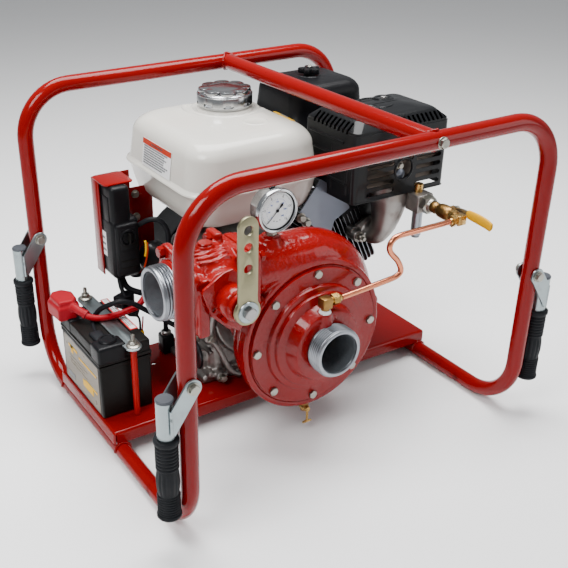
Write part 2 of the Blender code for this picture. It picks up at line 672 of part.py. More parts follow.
def fuel_tank():
    """Two pressed shells joined at a lip, with the cap on its neck."""
    mid_x, mid_y = sum(TANK_X) / 2, sum(TANK_Y) / 2
    half_x, half_y = (TANK_X[1] - TANK_X[0]) / 2, (TANK_Y[1] - TANK_Y[0]) / 2
    levels = [(TANK_BOTTOM, 0.045, 0.028), (TANK_BOTTOM + 0.012, 0.026, 0.034), (TANK_LIP_Z - 0.003, 0.008, 0.040),
              (TANK_LIP_Z - 0.002, 0.0, 0.046), (TANK_LIP_Z + 0.001, 0.0, 0.046), (TANK_LIP_Z + 0.002, 0.007, 0.040),
              (TANK_TOP - 0.030, 0.013, 0.040), (TANK_TOP - 0.012, 0.020, 0.040), (TANK_TOP - 0.003, 0.032, 0.036),
              (TANK_TOP, 0.050, 0.030)]
    tank = lofted("tank", levels, half_x, half_y, (mid_x, mid_y, 0.0))
    room = [(TANK_BOTTOM + 0.002, 0.048, 0.026), (TANK_BOTTOM + 0.014, 0.030, 0.030), (TANK_LIP_Z, 0.010, 0.038),
            (TANK_TOP - 0.030, 0.016, 0.038), (TANK_TOP - 0.014, 0.023, 0.036), (TANK_TOP - 0.003, 0.050, 0.028)]
    inside = lofted("tank_room", room, half_x, half_y, (mid_x, mid_y, 0.0))
    filler = rod("filler", (*CAP_AT, TANK_TOP - 0.01), (*CAP_AT, TANK_TOP + 0.01), 0.022, 16)
    piece(cut(tank, inside, filler), "fuel_tank", "ivory_paint")
    cap_z = TANK_TOP + GAP
    cap = turned("cap", [(0.0, 0.032), (0.028, 0.032), (0.042, 0.028), (CAP_R, 0.023), (CAP_R, 0.004),
                         (CAP_R - 0.004, 0.0), (0.0, 0.0)], (*CAP_AT, cap_z), "up", 20)
    piece(cap, "fuel_cap", "zinc")


def lofted(name, levels, half_x, half_y, at):
    """A solid through rounded rectangles, one for each (height, inset, corner radius)."""
    bm = bmesh.new()
    rings = []
    for z, inset, corner in levels:
        outline = rounded_rectangle(half_x - inset, half_y - inset, corner, 4)
        rings.append([bm.verts.new((x, y, z)) for x, y in outline])
    bm.faces.new(reversed(rings[0]))
    bm.faces.new(rings[-1])
    for lower, upper in zip(rings, rings[1:]):
        count = len(lower)
        for i in range(count):
            j = (i + 1) % count
            bm.faces.new((lower[i], lower[j], upper[j], upper[i]))
    return link_mesh(name, bm, at)


def rounded_rectangle(half_x, half_y, corner, steps):
    """The outline of a rectangle with round corners, anticlockwise."""
    outline = []
    for index, (sx, sy) in enumerate(((1, 1), (-1, 1), (-1, -1), (1, -1))):
        outline += circle(sx * (half_x - corner), sy * (half_y - corner), corner, steps,
                          index * math.pi / 2, math.pi / 2)
    return outline


def intake():
    """Carburettor and air cleaner."""
    body = box("carburettor", (0.128, 0.176), (0.118, 0.170), (0.300, CLEANER_Z[0] - GAP), 0.006)
    piece(body, "carburettor", "aluminium")
    base = box("cleaner_base", CLEANER_X, CLEANER_Y, (CLEANER_Z[0], CLEANER_Z[1] - GAP), 0.010)
    piece(base, "air_cleaner_base", "black_plastic")
    cover = box("cleaner_cover", CLEANER_X, CLEANER_Y, (CLEANER_Z[1], CLEANER_Z[2]), 0.018, 3)
    piece(cover, "air_cleaner_cover", "black_plastic")
    x, y = sum(CLEANER_X) / 2, sum(CLEANER_Y) / 2
    at_z = CLEANER_Z[2] + GAP
    lobes = [(0.0155 + 0.0035 * math.cos(5 * a), a) for a in (2 * math.pi * i / 40 for i in range(40))]
    outline = [(r * math.cos(a), r * math.sin(a)) for r, a in lobes]
    knob = slab("cleaner_knob", outline, [], 0.009, (x, y, at_z + 0.0075), "up")
    stem = rod("knob_stem", (x, y, at_z), (x, y, at_z + 0.005), 0.009, 14)
    tip = rod("knob_tip", (x, y, at_z + 0.008), (x, y, at_z + 0.016), 0.003, 8)
    piece(join(knob, stem, tip), "air_cleaner_knob", "black_plastic")


def exhaust():
    """Muffler with its elbow, and the slotted guard around it."""
    inner = 0.010
    body = box("muffler", (MUFFLER_X[0] + inner, MUFFLER_X[1] - inner),
               (MUFFLER_Y[0] + inner, MUFFLER_Y[1] - inner), (MUFFLER_Z[0] + inner, MUFFLER_Z[1] - 0.006), 0.012, 2)
    route = smooth([(0.190, 0.0036, 0.268), (0.192, -0.012, 0.269), (0.195, -0.030, 0.278),
                    (0.198, -0.036, 0.300), (0.198, -0.036, 0.360)], 3)
    elbow = bar("elbow", route, 0.019, 4)
    room = box("muffler_room", (MUFFLER_X[0] + inner + SHEET, MUFFLER_X[1] - inner - SHEET),
               (MUFFLER_Y[0] + inner + SHEET, MUFFLER_Y[1] - inner - SHEET),
               (MUFFLER_Z[0] + inner + SHEET, MUFFLER_Z[1] - 0.006 - SHEET), 0.010)
    start = Vector(route[0]) + (Vector(route[0]) - Vector(route[1]))
    passage = bar("passage", [start] + route, 0.015, 4)
    piece(cut(join(body, elbow), room, passage), "muffler", "steel")
    guard = box("guard", MUFFLER_X, MUFFLER_Y, (MUFFLER_Z[0], MUFFLER_Z[1] + 0.025), 0.012, 2)
    wall = 0.002
    hollow = box("guard_hollow", (MUFFLER_X[0] + wall, MUFFLER_X[1] - wall), (MUFFLER_Y[0] + wall, MUFFLER_Y[1] - wall),
                 (MUFFLER_Z[0] - 0.01, MUFFLER_Z[1] + 0.023), 0.010)
    piece(cut(guard, hollow, *guard_slots()), "muffler_guard", "black_paint")


def guard_slots():
    """Cutters for the guard's front slots."""
    middle = sum(MUFFLER_X) / 2
    slots = []
    for row in range(4):
        z = MUFFLER_Z[0] + 0.026 + row * 0.017
        for side in (-1, 1):
            x = middle + side * 0.050
            slots.append(box(f"slot_{row}_{side}", (x - 0.026, x + 0.026), (MUFFLER_Y[0] - 0.01, MUFFLER_Y[0] + 0.006),
                             (z - 0.003, z + 0.003)))
    slots.append(rod("guard_hole", (middle, MUFFLER_Y[0] - 0.01, MUFFLER_Z[0] + 0.056),
                     (middle, MUFFLER_Y[0] + 0.006, MUFFLER_Z[0] + 0.056), 0.014, 16))
    return slots


def starter():
    """Electric starter motor beside the crankcase."""
    at = (-0.146, 0, 0.236)
    motor = turned("starter", [(0.0, 0.150), (0.018, 0.150), (0.022, 0.146), (0.0265, 0.140), (0.0265, 0.045),
                               (0.023, 0.038), (0.0, 0.038)], at, "back", 20)
    stud = rod("starter_terminal", (-0.160, 0.095, 0.245), (-0.1665, 0.092, 0.228), 0.005, 10)
    piece(join(motor, stud), "starter_motor", "black_paint")


def engine():
    """All of the engine's pieces."""
    engine_block()
    blower()
    rotating_group()
    fuel_tank()
    intake()
    exhaust()
    starter()


# ---- Pump ---------------------------------------------------------------------------------

SPIRAL_START = math.radians(135)
SPIRAL_END = math.radians(450)
SPIRAL_STEPS = 20


def spiral(name, wall):
    """The volute's channel, opening out as it turns, then running straight to the flange."""
    points, radii = [], []
    for index in range(SPIRAL_STEPS + 1):
        share = index / SPIRAL_STEPS
        angle = SPIRAL_START + share * (SPIRAL_END - SPIRAL_START)
        rise = max(0.0, (angle - math.radians(350)) / math.radians(100))
        centre = 0.096 + (CHANNEL_Z - AXIS_Z - 0.096) * rise * rise * (3 - 2 * rise)
        points.append((AXIS_X + centre * math.cos(angle), VOLUTE_Y, AXIS_Z + centre * math.sin(angle)))
        radii.append(0.018 + (CHANNEL_R - 0.018) * share - wall)
    reach = DISCHARGE_FLANGE_X - (0.02 if wall else 0.0)
    points.append((reach, VOLUTE_Y, CHANNEL_Z))
    radii.append(CHANNEL_R - wall)
    return curve_solid(name, points, radii, 4)


def volute():
    """Casing with its spiral channel, discharge flange, gauge boss and plug."""
    at = (AXIS_X, 0, AXIS_Z)
    body = turned("volute", [(0.0, 0.128), (0.124, 0.128), (0.124, 0.114), (0.112, 0.110), (0.106, 0.080),
                             (0.090, 0.0723), (0.0, 0.0723)], at, "front", 32)
    flange = rod("volute_flange", (DISCHARGE_FLANGE_X, VOLUTE_Y, CHANNEL_Z),
                 (DISCHARGE_FLANGE_X + 0.011, VOLUTE_Y, CHANNEL_Z), 0.053, 28)
    boss = rod("gauge_boss", (GAUGE_X, VOLUTE_Y, CHANNEL_Z), (GAUGE_X, VOLUTE_Y, CHANNEL_Z + CHANNEL_R + 0.006),
               0.015, 16)
    plug = rod("casing_plug", (AXIS_X + 0.115, VOLUTE_Y, AXIS_Z + 0.012),
               (AXIS_X + 0.143, VOLUTE_Y, AXIS_Z + 0.012), 0.010, 12)
    seat = turned("cover_seat", [(0.0, 0.16), (COVER_R + 0.0015, 0.16), (COVER_R + 0.0015, 0.128), (0.0, 0.128)],
                  at, "front", 32)
    chamber = turned("chamber", [(0.0, 0.17), (0.096, 0.17), (0.096, 0.0765), (0.026, 0.0765), (0.026, 0.05),
                                 (0.0, 0.05)], at, "front", 24)
    casing = join(body, spiral("spiral_outer", 0.0), flange, boss, plug)
    piece(cut(casing, spiral("spiral_inner", 0.006), seat, chamber), "volute_casing", "red_paint")


def pump_bracket():
    """Cast lantern between the crankcase and the volute."""
    bracket = turned("lantern", [(0.062, 0.0717), (0.062, 0.064), (0.050, 0.058), (0.050, 0.022), (0.078, 0.016),
                                 (0.078, 0.0055), (0.030, 0.0055), (0.030, 0.0717)],
                     (AXIS_X, 0, AXIS_Z), "front", 20)
    piece(bracket, "pump_bracket", "red_paint")


def suction_cover():
    """Front cover with its stepped hub and bolts, and the threaded nozzle."""
    at = (AXIS_X, 0, AXIS_Z)
    back = -COVER_BACK_Y
    neck = 0.036 + GAP
    cover = turned("cover", [(neck, 0.172), (0.052, 0.172), (0.056, 0.168), (0.060, 0.156), (0.066, 0.154),
                             (0.070, 0.147), (0.084, 0.145), (0.088, 0.137), (COVER_R, 0.137), (COVER_R, back),
                             (0.038, back), (0.038, 0.156), (neck, 0.156)], at, "front", 32)
    bolts = []
    for index in range(COVER_BOLTS):
        angle = 2 * math.pi * index / COVER_BOLTS
        x = AXIS_X + BOLT_CIRCLE_R * math.sin(angle)
        z = AXIS_Z + BOLT_CIRCLE_R * math.cos(angle)
        bolts.append(rod(f"cover_bolt_{index}", (x, -0.135, z), (x, -0.1415, z), 0.0068, 6))
    pad = rod("elbow_pad", (ELBOW_X, LINE_Y + 0.002, AXIS_Z + 0.045), (ELBOW_X, LINE_Y + 0.002, AXIS_Z + 0.059), 0.010, 16)
    piece(join(cover, pad, *bolts), "suction_cover", "red_paint")
    rim = -SUCTION_RIM_Y
    nozzle = turned("nozzle", [(BORE_R, rim), (PORT_R, rim), (PORT_R, 0.1725), (0.036, 0.1725), (0.036, 0.1565),
                               (BORE_R, 0.1565)], at, "front", 28)
    piece(nozzle, "suction_nozzle", "aluminium")


def discharge_valve():
    """Ball valve with its lever, and the discharge nozzle."""
    at = (0, VOLUTE_Y, CHANNEL_Z)
    left, right, end = -VALVE_X, -DISCHARGE_FLANGE_X + GAP, -VALVE_END_X
    room = BALL_R + 0.001
    body = turned("valve", [(BORE_R, end), (0.050, end), (0.052, end - 0.010), (0.044, end - 0.012),
                            (0.050, left + 0.018), (0.053, left), (0.050, left - 0.020), (0.044, right + 0.014),
                            (0.053, right + 0.012), (0.053, right), (BORE_R, right),
                            (BORE_R, left - 0.027), (room, left - 0.027), (room, left + 0.027), (BORE_R, left + 0.027)],
                  at, "left", 24)
    bonnet_end = LEVER_Y + 0.006
    bonnet = rod("bonnet", (VALVE_X, VOLUTE_Y - 0.043, CHANNEL_Z), (VALVE_X, bonnet_end, CHANNEL_Z), 0.019, 20)
    collar = rod("bonnet_flange", (VALVE_X, VOLUTE_Y - 0.048, CHANNEL_Z),
                 (VALVE_X, VOLUTE_Y - 0.058, CHANNEL_Z), 0.033, 20)
    stem_hole = rod("stem_hole", (VALVE_X, VOLUTE_Y - 0.02, CHANNEL_Z), (VALVE_X, LEVER_Y - 0.01, CHANNEL_Z), 0.0075, 14)
    piece(cut(join(body, bonnet, collar), stem_hole), "discharge_valve_body", "red_paint")
    ball = turned("ball", [(0.0, BALL_R)] + [(BALL_R * math.sin(a), BALL_R * math.cos(a))
                                             for a in (math.pi * i / 10 for i in range(1, 10))] + [(0.0, -BALL_R)],
                  (VALVE_X, VOLUTE_Y, CHANNEL_Z), "up", 18)
    way = rod("ball_bore", (VALVE_X, VOLUTE_Y, CHANNEL_Z - 0.05), (VALVE_X, VOLUTE_Y, CHANNEL_Z + 0.05), 0.029, 20)
    piece(cut(ball, way), "valve_ball", "steel")
    rim = -DISCHARGE_RIM_X
    nozzle = turned("outlet", [(BORE_R, rim), (PORT_R, rim), (PORT_R, end + 0.006), (0.045, end + 0.005),
                               (0.045, end + GAP), (BORE_R, end + GAP)], at, "left", 28)
    piece(nozzle, "discharge_nozzle", "aluminium")
    valve_lever()


def valve_lever():
    """Flat lever with three holes, fixed to the valve's stem."""
    boss, width, tip = 0.0195, 0.015, 0.015
    outline = circle(0, 0, boss, 13, math.radians(140), math.radians(260))
    outline += circle(0, LEVER_REACH - tip, width, 9, 0.0, math.pi)
    holes = [(0, reach, 0.0068) for reach in LEVER_HOLES]
    plate = slab("lever", outline, holes, LEVER_THICK, (VALVE_X, LEVER_Y - LEVER_THICK / 2, CHANNEL_Z))
    stem = rod("stem", (VALVE_X, LEVER_Y - 0.001, CHANNEL_Z), (VALVE_X, VOLUTE_Y - BALL_R - GAP, CHANNEL_Z), 0.0068, 14)
    nut = rod("lever_nut", (VALVE_X, LEVER_Y - 0.004, CHANNEL_Z), (VALVE_X, LEVER_Y - LEVER_THICK - 0.009, CHANNEL_Z),
              0.0105, 6)
    piece(join(plate, stem, nut), "valve_lever", "cadmium")


def gauge():
    """Pressure gauge with a free needle in its recessed face."""
    front, back = -GAUGE_FRONT_Y, -GAUGE_FRONT_Y - 0.030
    case = turned("gauge", [(0.0, front - 0.004), (GAUGE_R - 0.004, front - 0.004), (GAUGE_R - 0.004, front),
                            (GAUGE_R, front - 0.001), (GAUGE_R, front - 0.008), (GAUGE_R - 0.002, front - 0.009),
                            (GAUGE_R - 0.002, back), (0.0, back)], (GAUGE_X, 0, GAUGE_Z), "front", 24)
    stem_y = VOLUTE_Y - 0.008
    foot = CHANNEL_Z + CHANNEL_R + 0.006 + GAP
    stem = rod("gauge_stem", (GAUGE_X, stem_y, foot), (GAUGE_X, stem_y, GAUGE_Z - 0.025), 0.007, 6)
    piece(join(case, stem), "pressure_gauge", "steel")
    needle_y = GAUGE_FRONT_Y + 0.0022
    pointer = slab("needle", [(-0.0016, -0.010), (0.0016, -0.010), (0.0006, 0.023), (-0.0006, 0.023)], [], 0.001,
                   (GAUGE_X, needle_y, GAUGE_Z))
    pointer.rotation_euler = (math.pi / 2, math.radians(-135), 0.0)
    hub = rod("needle_hub", (GAUGE_X, needle_y - 0.0012, GAUGE_Z), (GAUGE_X, needle_y + 0.0012, GAUGE_Z), 0.003, 12)
    piece(join(hub, pointer), "gauge_needle", "black_plastic")


COPPER_ROUTE = [(0.0135, 0.250), (0.040, 0.2515), (0.095, 0.2555), (0.117, 0.2585), (0.124, 0.267),
                (0.116, 0.284), (0.101, 0.301), (0.098, 0.311), (0.102, 0.320), (0.114, 0.325),
                (0.150, 0.3255), (0.2172, 0.3255)]


def primer():
    """Exhaust ejector, its shut-off valve and the copper line to the suction cover."""
    x, z = PRIMER_X, PRIMER_Z
    block = box("ejector", (x - 0.0125, x + 0.0125), (-0.089, -0.061), (z - 0.014, MUFFLER_Z[0] - 0.003), 0.002)
    pipe = rod("ejector_pipe", (x, -0.075, 0.262), (x, -0.075, z), 0.0060, 12)
    neck = rod("ejector_neck", (x, -0.075, z), (x, -0.075, MUFFLER_Z[0] - GAP), 0.009, 12)
    hexagon = rod("ejector_hex", (x, -0.088, z), (x, -0.108, z), 0.0145, 6)
    piece(join(block, pipe, neck, hexagon), "primer_ejector", "aluminium")
    barrel = rod("primer_barrel", (x, -0.1083, z), (x, LINE_Y + 0.004, z), 0.0095, 16)
    bulge = rod("primer_bulge", (x, PRIMER_VALVE_Y + 0.012, z), (x, PRIMER_VALVE_Y - 0.012, z), 0.0130, 6)
    outlet = box("primer_outlet", (x - 0.0165, x + 0.0075), (LINE_Y - 0.0075, LINE_Y + 0.0075), (z - 0.0075, z + 0.0075),
                 0.001)
    pivot_x = x + 0.018
    neck = rod("primer_stem_neck", (x, PRIMER_VALVE_Y, z), (pivot_x, PRIMER_VALVE_Y, z), 0.0055, 12)
    piece(join(barrel, bulge, outlet, neck), "primer_valve_body", "brass")
    arm_x = pivot_x + GAP
    arm = box("primer_arm", (arm_x, arm_x + 0.0035), (PRIMER_VALVE_Y - PRIMER_REACH, PRIMER_VALVE_Y + 0.007),
              (z - 0.0065, z + 0.0065), 0.001)
    nut = rod("primer_nut", (arm_x + 0.001, PRIMER_VALVE_Y, z), (arm_x + 0.0075, PRIMER_VALVE_Y, z), 0.0055, 6)
    piece(join(arm, nut), "primer_valve_lever", "yellow_plastic")
    route = [(px, LINE_Y, pz) for px, pz in COPPER_ROUTE]
    piece(bar("copper", smooth(route, 2), COPPER_R, 1), "primer_line", "copper")
    low = AXIS_Z + 0.059 + GAP
    fitting = box("hub_elbow", (ELBOW_X - 0.008, ELBOW_X + 0.008), (LINE_Y - 0.008, LINE_Y + 0.008), (0.242, 0.258), 0.001)
    shank = rod("hub_shank", (ELBOW_X, LINE_Y, low), (ELBOW_X, LINE_Y, 0.244), 0.0065, 12)
    nut = rod("hub_nut", (ELBOW_X + 0.006, LINE_Y, 0.250), (0.0127, LINE_Y, 0.250), 0.0085, 6)
    piece(join(fitting, shank, nut), "hub_elbow", "brass")


def drain():
    """Drain cock under the casing, with its hanging handle."""
    x, y = AXIS_X - 0.004, -0.121
    body = rod("cock", (x, y, 0.034), (x, y, 0.0516), 0.0055, 12)
    barrel = rod("cock_barrel", (x, y + 0.006, 0.040), (x, y - 0.008, 0.040), 0.0065, 12)
    piece(join(body, barrel), "drain_cock", "brass")
    hang = box("cock_lever", (x - 0.002, x + 0.002), (y - 0.0115, y - 0.0085), (0.018, 0.041))
    cross = box("cock_tee", (x - 0.008, x + 0.008), (y - 0.0115, y - 0.0085), (0.014, 0.019))
    hub = rod("cock_hub", (x, y - 0.0083, 0.040), (x, y - 0.0125, 0.040), 0.005, 10)
    piece(join(hang, cross, hub), "drain_handle", "brass")


def pump():
    """All of the pump's pieces."""
    pump_bracket()
    volute()
    suction_cover()
    discharge_valve()
    gauge()
    primer()
    drain()


frame()
handles()
battery()
battery_cables()
start_control()
engine()
pump()
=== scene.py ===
"""Looks for the portable fire pump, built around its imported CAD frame."""

import math
import random

import bmesh
import bpy
from mathutils import Matrix, Vector


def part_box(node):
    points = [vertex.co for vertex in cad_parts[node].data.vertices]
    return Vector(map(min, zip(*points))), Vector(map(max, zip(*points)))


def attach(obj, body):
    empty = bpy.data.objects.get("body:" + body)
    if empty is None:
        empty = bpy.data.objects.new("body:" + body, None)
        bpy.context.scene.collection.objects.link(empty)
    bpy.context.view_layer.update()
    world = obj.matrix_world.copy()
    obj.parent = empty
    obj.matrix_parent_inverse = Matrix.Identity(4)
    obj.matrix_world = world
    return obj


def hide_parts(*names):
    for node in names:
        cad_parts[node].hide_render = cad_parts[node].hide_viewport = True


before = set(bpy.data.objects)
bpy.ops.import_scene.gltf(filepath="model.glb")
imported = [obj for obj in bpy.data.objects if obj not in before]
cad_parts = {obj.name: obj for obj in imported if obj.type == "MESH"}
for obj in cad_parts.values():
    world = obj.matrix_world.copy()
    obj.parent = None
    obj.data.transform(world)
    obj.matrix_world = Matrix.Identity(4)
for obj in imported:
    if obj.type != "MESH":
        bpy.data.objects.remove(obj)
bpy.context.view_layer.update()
X, Y, Z = Vector((1, 0, 0)), Vector((0, 1, 0)), Vector((0, 0, 1))
ROOT = "pump_set"

# ---- Camera -------------------------------------------------------------------------------

camera = bpy.data.objects.new("camera", bpy.data.cameras.new("camera"))
bpy.context.scene.collection.objects.link(camera)
bpy.context.scene.camera = camera
camera.data.sensor_width = 36.0
camera.data.lens = 57.21
camera.data.shift_x = 0.0979
camera.data.shift_y = 0.0492
camera.data.clip_start = 0.01
YAW, PITCH, ROLL = (math.radians(angle) for angle in (30.6353, 28.3593, -0.3556))
level = Vector((math.cos(YAW), -math.sin(YAW), 0))
look = Vector((math.sin(YAW) * math.cos(PITCH), math.cos(YAW) * math.cos(PITCH), -math.sin(PITCH)))
above = level.cross(look)
right = level * math.cos(ROLL) + above * math.sin(ROLL)
top = above * math.cos(ROLL) - level * math.sin(ROLL)
camera.matrix_world = Matrix.Translation((-0.731472, -1.096943,
                                          0.863297)) @ Matrix((right, top, -look)).transposed().to_4x4()

# ---- Materials ----------------------------------------------------------------------------


def finish(name, color, rough=0.4, metal=0.0, coat=0.0, grain=(400, 0.05), mottle=(0.12, 30), spread=0.08,
           marks=None):
    """A procedural finish: two tones of one colour, uneven roughness and a surface grain.

    grain is (scale, strength) of the bump, mottle is (share, scale) of the tone, spread is the
    range of roughness, and marks is (colour, scale, amount) of worn or dusty patches.
    """
    made = bpy.data.materials.new(name)
    made.use_nodes = True
    nodes, links = made.node_tree.nodes, made.node_tree.links
    shader = nodes["Principled BSDF"]
    shader.inputs["Metallic"].default_value = metal
    shader.inputs["Coat Weight"].default_value = coat
    shader.inputs["Coat Roughness"].default_value = 0.05
    shader.inputs["Specular IOR Level"].default_value = 0.14
    place = nodes.new("ShaderNodeTexCoord")

    def noise(scale, detail):
        node = nodes.new("ShaderNodeTexNoise")
        node.inputs["Scale"].default_value = scale
        node.inputs["Detail"].default_value = detail
        links.new(place.outputs["Object"], node.inputs["Vector"])
        return node

    tone = noise(mottle[1], 4.0)
    mix = nodes.new("ShaderNodeMix")
    mix.data_type = "RGBA"
    mix.inputs["A"].default_value = (*[c * (1 - mottle[0]) for c in color], 1)
    mix.inputs["B"].default_value = (*[min(1.0, c * (1 + mottle[0])) for c in color], 1)
    links.new(tone.outputs["Fac"], mix.inputs["Factor"])
    result = mix.outputs["Result"]
    if marks:
        patch = noise(marks[1], 6.0)
        ramp = nodes.new("ShaderNodeMapRange")
        ramp.inputs["From Min"].default_value = 0.62 - marks[2]
        ramp.inputs["From Max"].default_value = 0.7
        links.new(patch.outputs["Fac"], ramp.inputs["Value"])
        worn = nodes.new("ShaderNodeMix")
        worn.data_type = "RGBA"
        worn.inputs["B"].default_value = (*marks[0], 1)
        links.new(ramp.outputs["Result"], worn.inputs["Factor"])
        links.new(result, worn.inputs["A"])
        result = worn.outputs["Result"]
    links.new(result, shader.inputs["Base Color"])
    span = nodes.new("ShaderNodeMapRange")
    span.inputs["To Min"].default_value = max(0.02, rough - spread)
    span.inputs["To Max"].default_value = min(1.0, rough + spread)
    links.new(noise(mottle[1] * 2.3, 3.0).outputs["Fac"], span.inputs["Value"])
    links.new(span.outputs["Result"], shader.inputs["Roughness"])
    bump = nodes.new("ShaderNodeBump")
    bump.inputs["Strength"].default_value = grain[1]
    bump.inputs["Distance"].default_value = 0.001
    links.new(noise(grain[0], 3.0).outputs["Fac"], bump.inputs["Height"])
    links.new(bump.outputs["Normal"], shader.inputs["Normal"])
    return made


PAINT = finish("red_enamel", (0.185, 0.0001, 0.0003), 0.16, coat=0.14, grain=(120, 0.02), mottle=(0.05, 18),
               spread=0.04)
CAST_RED = finish("red_cast_iron", (0.225, 0.0001, 0.0004), 0.2, coat=0.34, grain=(150, 1.5),
                  mottle=(0.1, 40))
ZINC = finish("zinc_plate", (0.29, 0.335, 0.345), 0.32, 1.0, grain=(700, 0.05), mottle=(0.1, 45),
              spread=0.08, marks=((0.26, 0.29, 0.3), 60, 0.04))
BOLT_ZINC = finish("bolt_zinc", (0.33, 0.32, 0.28), 0.34, 1.0, grain=(900, 0.1), mottle=(0.14, 160))
CHROME = finish("polished_steel", (0.42, 0.43, 0.44), 0.2, 1.0, grain=(900, 0.02), mottle=(0.05, 60),
                spread=0.05)
PASSIVATED = finish("yellow_passivated", (0.265, 0.245, 0.15), 0.4, 1.0, grain=(800, 0.06),
                    mottle=(0.14, 50))
STEEL = finish("bare_steel", (0.32, 0.31, 0.3), 0.35, 1.0, grain=(500, 0.12), mottle=(0.2, 70))
HOT_STEEL = finish("heated_steel", (0.29, 0.275, 0.26), 0.42, 1.0, grain=(300, 0.15), mottle=(0.2, 30),
                   marks=((0.16, 0.12, 0.1), 24, 0.08))
SOOTED = finish("sooted_steel", (0.11, 0.09, 0.075), 0.45, 0.8, grain=(300, 0.2), mottle=(0.3, 30))
CAST_ALU = finish("cast_aluminium", (0.27, 0.25, 0.235), 0.4, 0.9, grain=(420, 0.5), mottle=(0.25, 60),
                  marks=((0.1, 0.09, 0.085), 30, 0.12))
MACHINED = finish("machined_aluminium", (0.27, 0.285, 0.31), 0.34, 1.0, grain=(600, 0.18), mottle=(0.14, 80))
# Darker aluminium: lines the nozzle bores as painted shade inside them, and tips the ejector's stem.
DARK_ALU = finish("nozzle_bore", (0.15, 0.165, 0.18), 0.5, 0.5, grain=(380, 0.6), mottle=(0.25, 90))
# Dark finish for the faces down in thread grooves: painted shade in the grooves.
THREAD_SHADE = finish("thread_groove_shade", (0.055, 0.06, 0.066), 0.5, 0.5, grain=(500, 0.2), mottle=(0.2, 90))
RUBBER = finish("grip_rubber", (0.008, 0.009, 0.011), 0.55, grain=(700, 0.2), mottle=(0.3, 50), spread=0.1)
CAP_PLASTIC = finish("end_cap", (0.06, 0.065, 0.075), 0.42, grain=(500, 0.1))
BLACK = finish("moulded_black", (0.0045, 0.0045, 0.0055), 0.36, grain=(900, 0.22), mottle=(0.3, 40))
CASE = finish("battery_black", (0.005, 0.0045, 0.0038), 0.42, grain=(800, 0.18), mottle=(0.3, 30))
SHEET_BLACK = finish("black_heat_paint", (0.004, 0.0044, 0.0052), 0.32, coat=0.14, grain=(500, 0.12),
                     mottle=(0.3, 30))
FIN_BLACK = finish("black_fins", (0.006, 0.006, 0.007), 0.4, 0.3, grain=(500, 0.25), mottle=(0.3, 60))
SHROUD_GREY = finish("grey_shroud", (0.17, 0.19, 0.23), 0.3, 0.6, coat=0.3, grain=(300, 0.05),
                     mottle=(0.15, 20))
WIRE_BLACK = finish("cable_black", (0.006, 0.0065, 0.008), 0.45, grain=(900, 0.1))
RED_RUBBER = finish("red_boot", (0.3, 0.004, 0.012), 0.42, grain=(500, 0.15), mottle=(0.1, 40))
RED_SLEEVE = finish("red_sleeve", (0.32, 0.0005, 0.0005), 0.35, grain=(500, 0.05), mottle=(0.08, 30))
RED_CABLE = finish("red_cable", (0.3, 0.001, 0.008), 0.36, grain=(700, 0.08), mottle=(0.08, 30))
IVORY = finish("ivory_enamel", (0.6, 0.58, 0.525), 0.22, coat=0.5, grain=(220, 0.03), mottle=(0.02, 14),
               spread=0.04)
BRASS = finish("brass", (0.5, 0.31, 0.1), 0.28, 1.0, grain=(700, 0.12), mottle=(0.18, 90))
DARK_BRASS = finish("aged_brass", (0.25, 0.14, 0.045), 0.36, 1.0, grain=(600, 0.2), mottle=(0.2, 110))
COPPER = finish("copper", (0.62, 0.215, 0.115), 0.24, 1.0, grain=(600, 0.05), mottle=(0.1, 60))
YELLOW = finish("yellow_dip", (0.66, 0.33, 0.0), 0.35, coat=0.2, grain=(500, 0.08), mottle=(0.05, 50))
TAPE = finish("thread_tape", (0.8, 0.82, 0.84), 0.6, grain=(900, 0.5))
PAPER = finish("label_white", (0.8, 0.8, 0.8), 0.45, grain=(900, 0.04), mottle=(0.02, 60))
PRINT = finish("print_grey", (0.16, 0.17, 0.18), 0.5, grain=(900, 0.04))
ORANGE = finish("print_orange", (0.42, 0.022, 0.0), 0.45, grain=(900, 0.04))
RED_PRINT = finish("print_red", (0.65, 0.02, 0.02), 0.45, grain=(900, 0.04))
YELLOW_PRINT = finish("print_yellow", (0.72, 0.4, 0.0), 0.45, grain=(900, 0.04))
BATTERY_PRINT = finish("battery_print", (0.125, 0.095, 0.058), 0.3, coat=0.3, grain=(300, 0.02),
                       mottle=(0.35, 25))
BEIGE = finish("label_beige", (0.2, 0.17, 0.115), 0.38, grain=(700, 0.05), mottle=(0.12, 30))
DIAL = finish("dial_white", (0.78, 0.79, 0.8), 0.5, grain=(900, 0.03), mottle=(0.02, 60))
BLUE_PRINT = finish("print_blue", (0.03, 0.1, 0.42), 0.5, grain=(900, 0.03))
BRONZE = finish("cast_bronze", (0.45, 0.27, 0.1), 0.4, 1.0, grain=(400, 0.4))

# ---- Shape helpers ------------------------------------------------------------------------


def mm(*points):
    """Points given in millimetres."""
    return [tuple(value / 1000 for value in point) for point in points]


def loose(data):
    """A mesh or curve as a loose object in the scene."""
    obj = bpy.data.objects.new("bit", data)
    bpy.context.scene.collection.objects.link(obj)
    return obj


def applied(obj):
    """A mesh of the object with its modifiers, in world space."""
    bpy.context.view_layer.update()
    mesh = bpy.data.meshes.new_from_object(obj.evaluated_get(bpy.context.evaluated_depsgraph_get()))
    mesh.transform(obj.matrix_world)
    return mesh


def from_curve(data):
    """The filled mesh of a curve or of numerals."""
    guide = loose(data)
    mesh = applied(guide)
    bpy.data.objects.remove(guide)
    return mesh


def shade(mesh, sharp):
    """Smooth shading that keeps edges beyond an angle in degrees."""
    mesh.shade_smooth()
    mesh.set_sharp_from_angle(angle=math.radians(sharp))


def spoke(angle, radius=1.0):
    """A step out from an axis along Y, at an angle from X."""
    return Vector((math.cos(angle), 0, math.sin(angle))) * radius


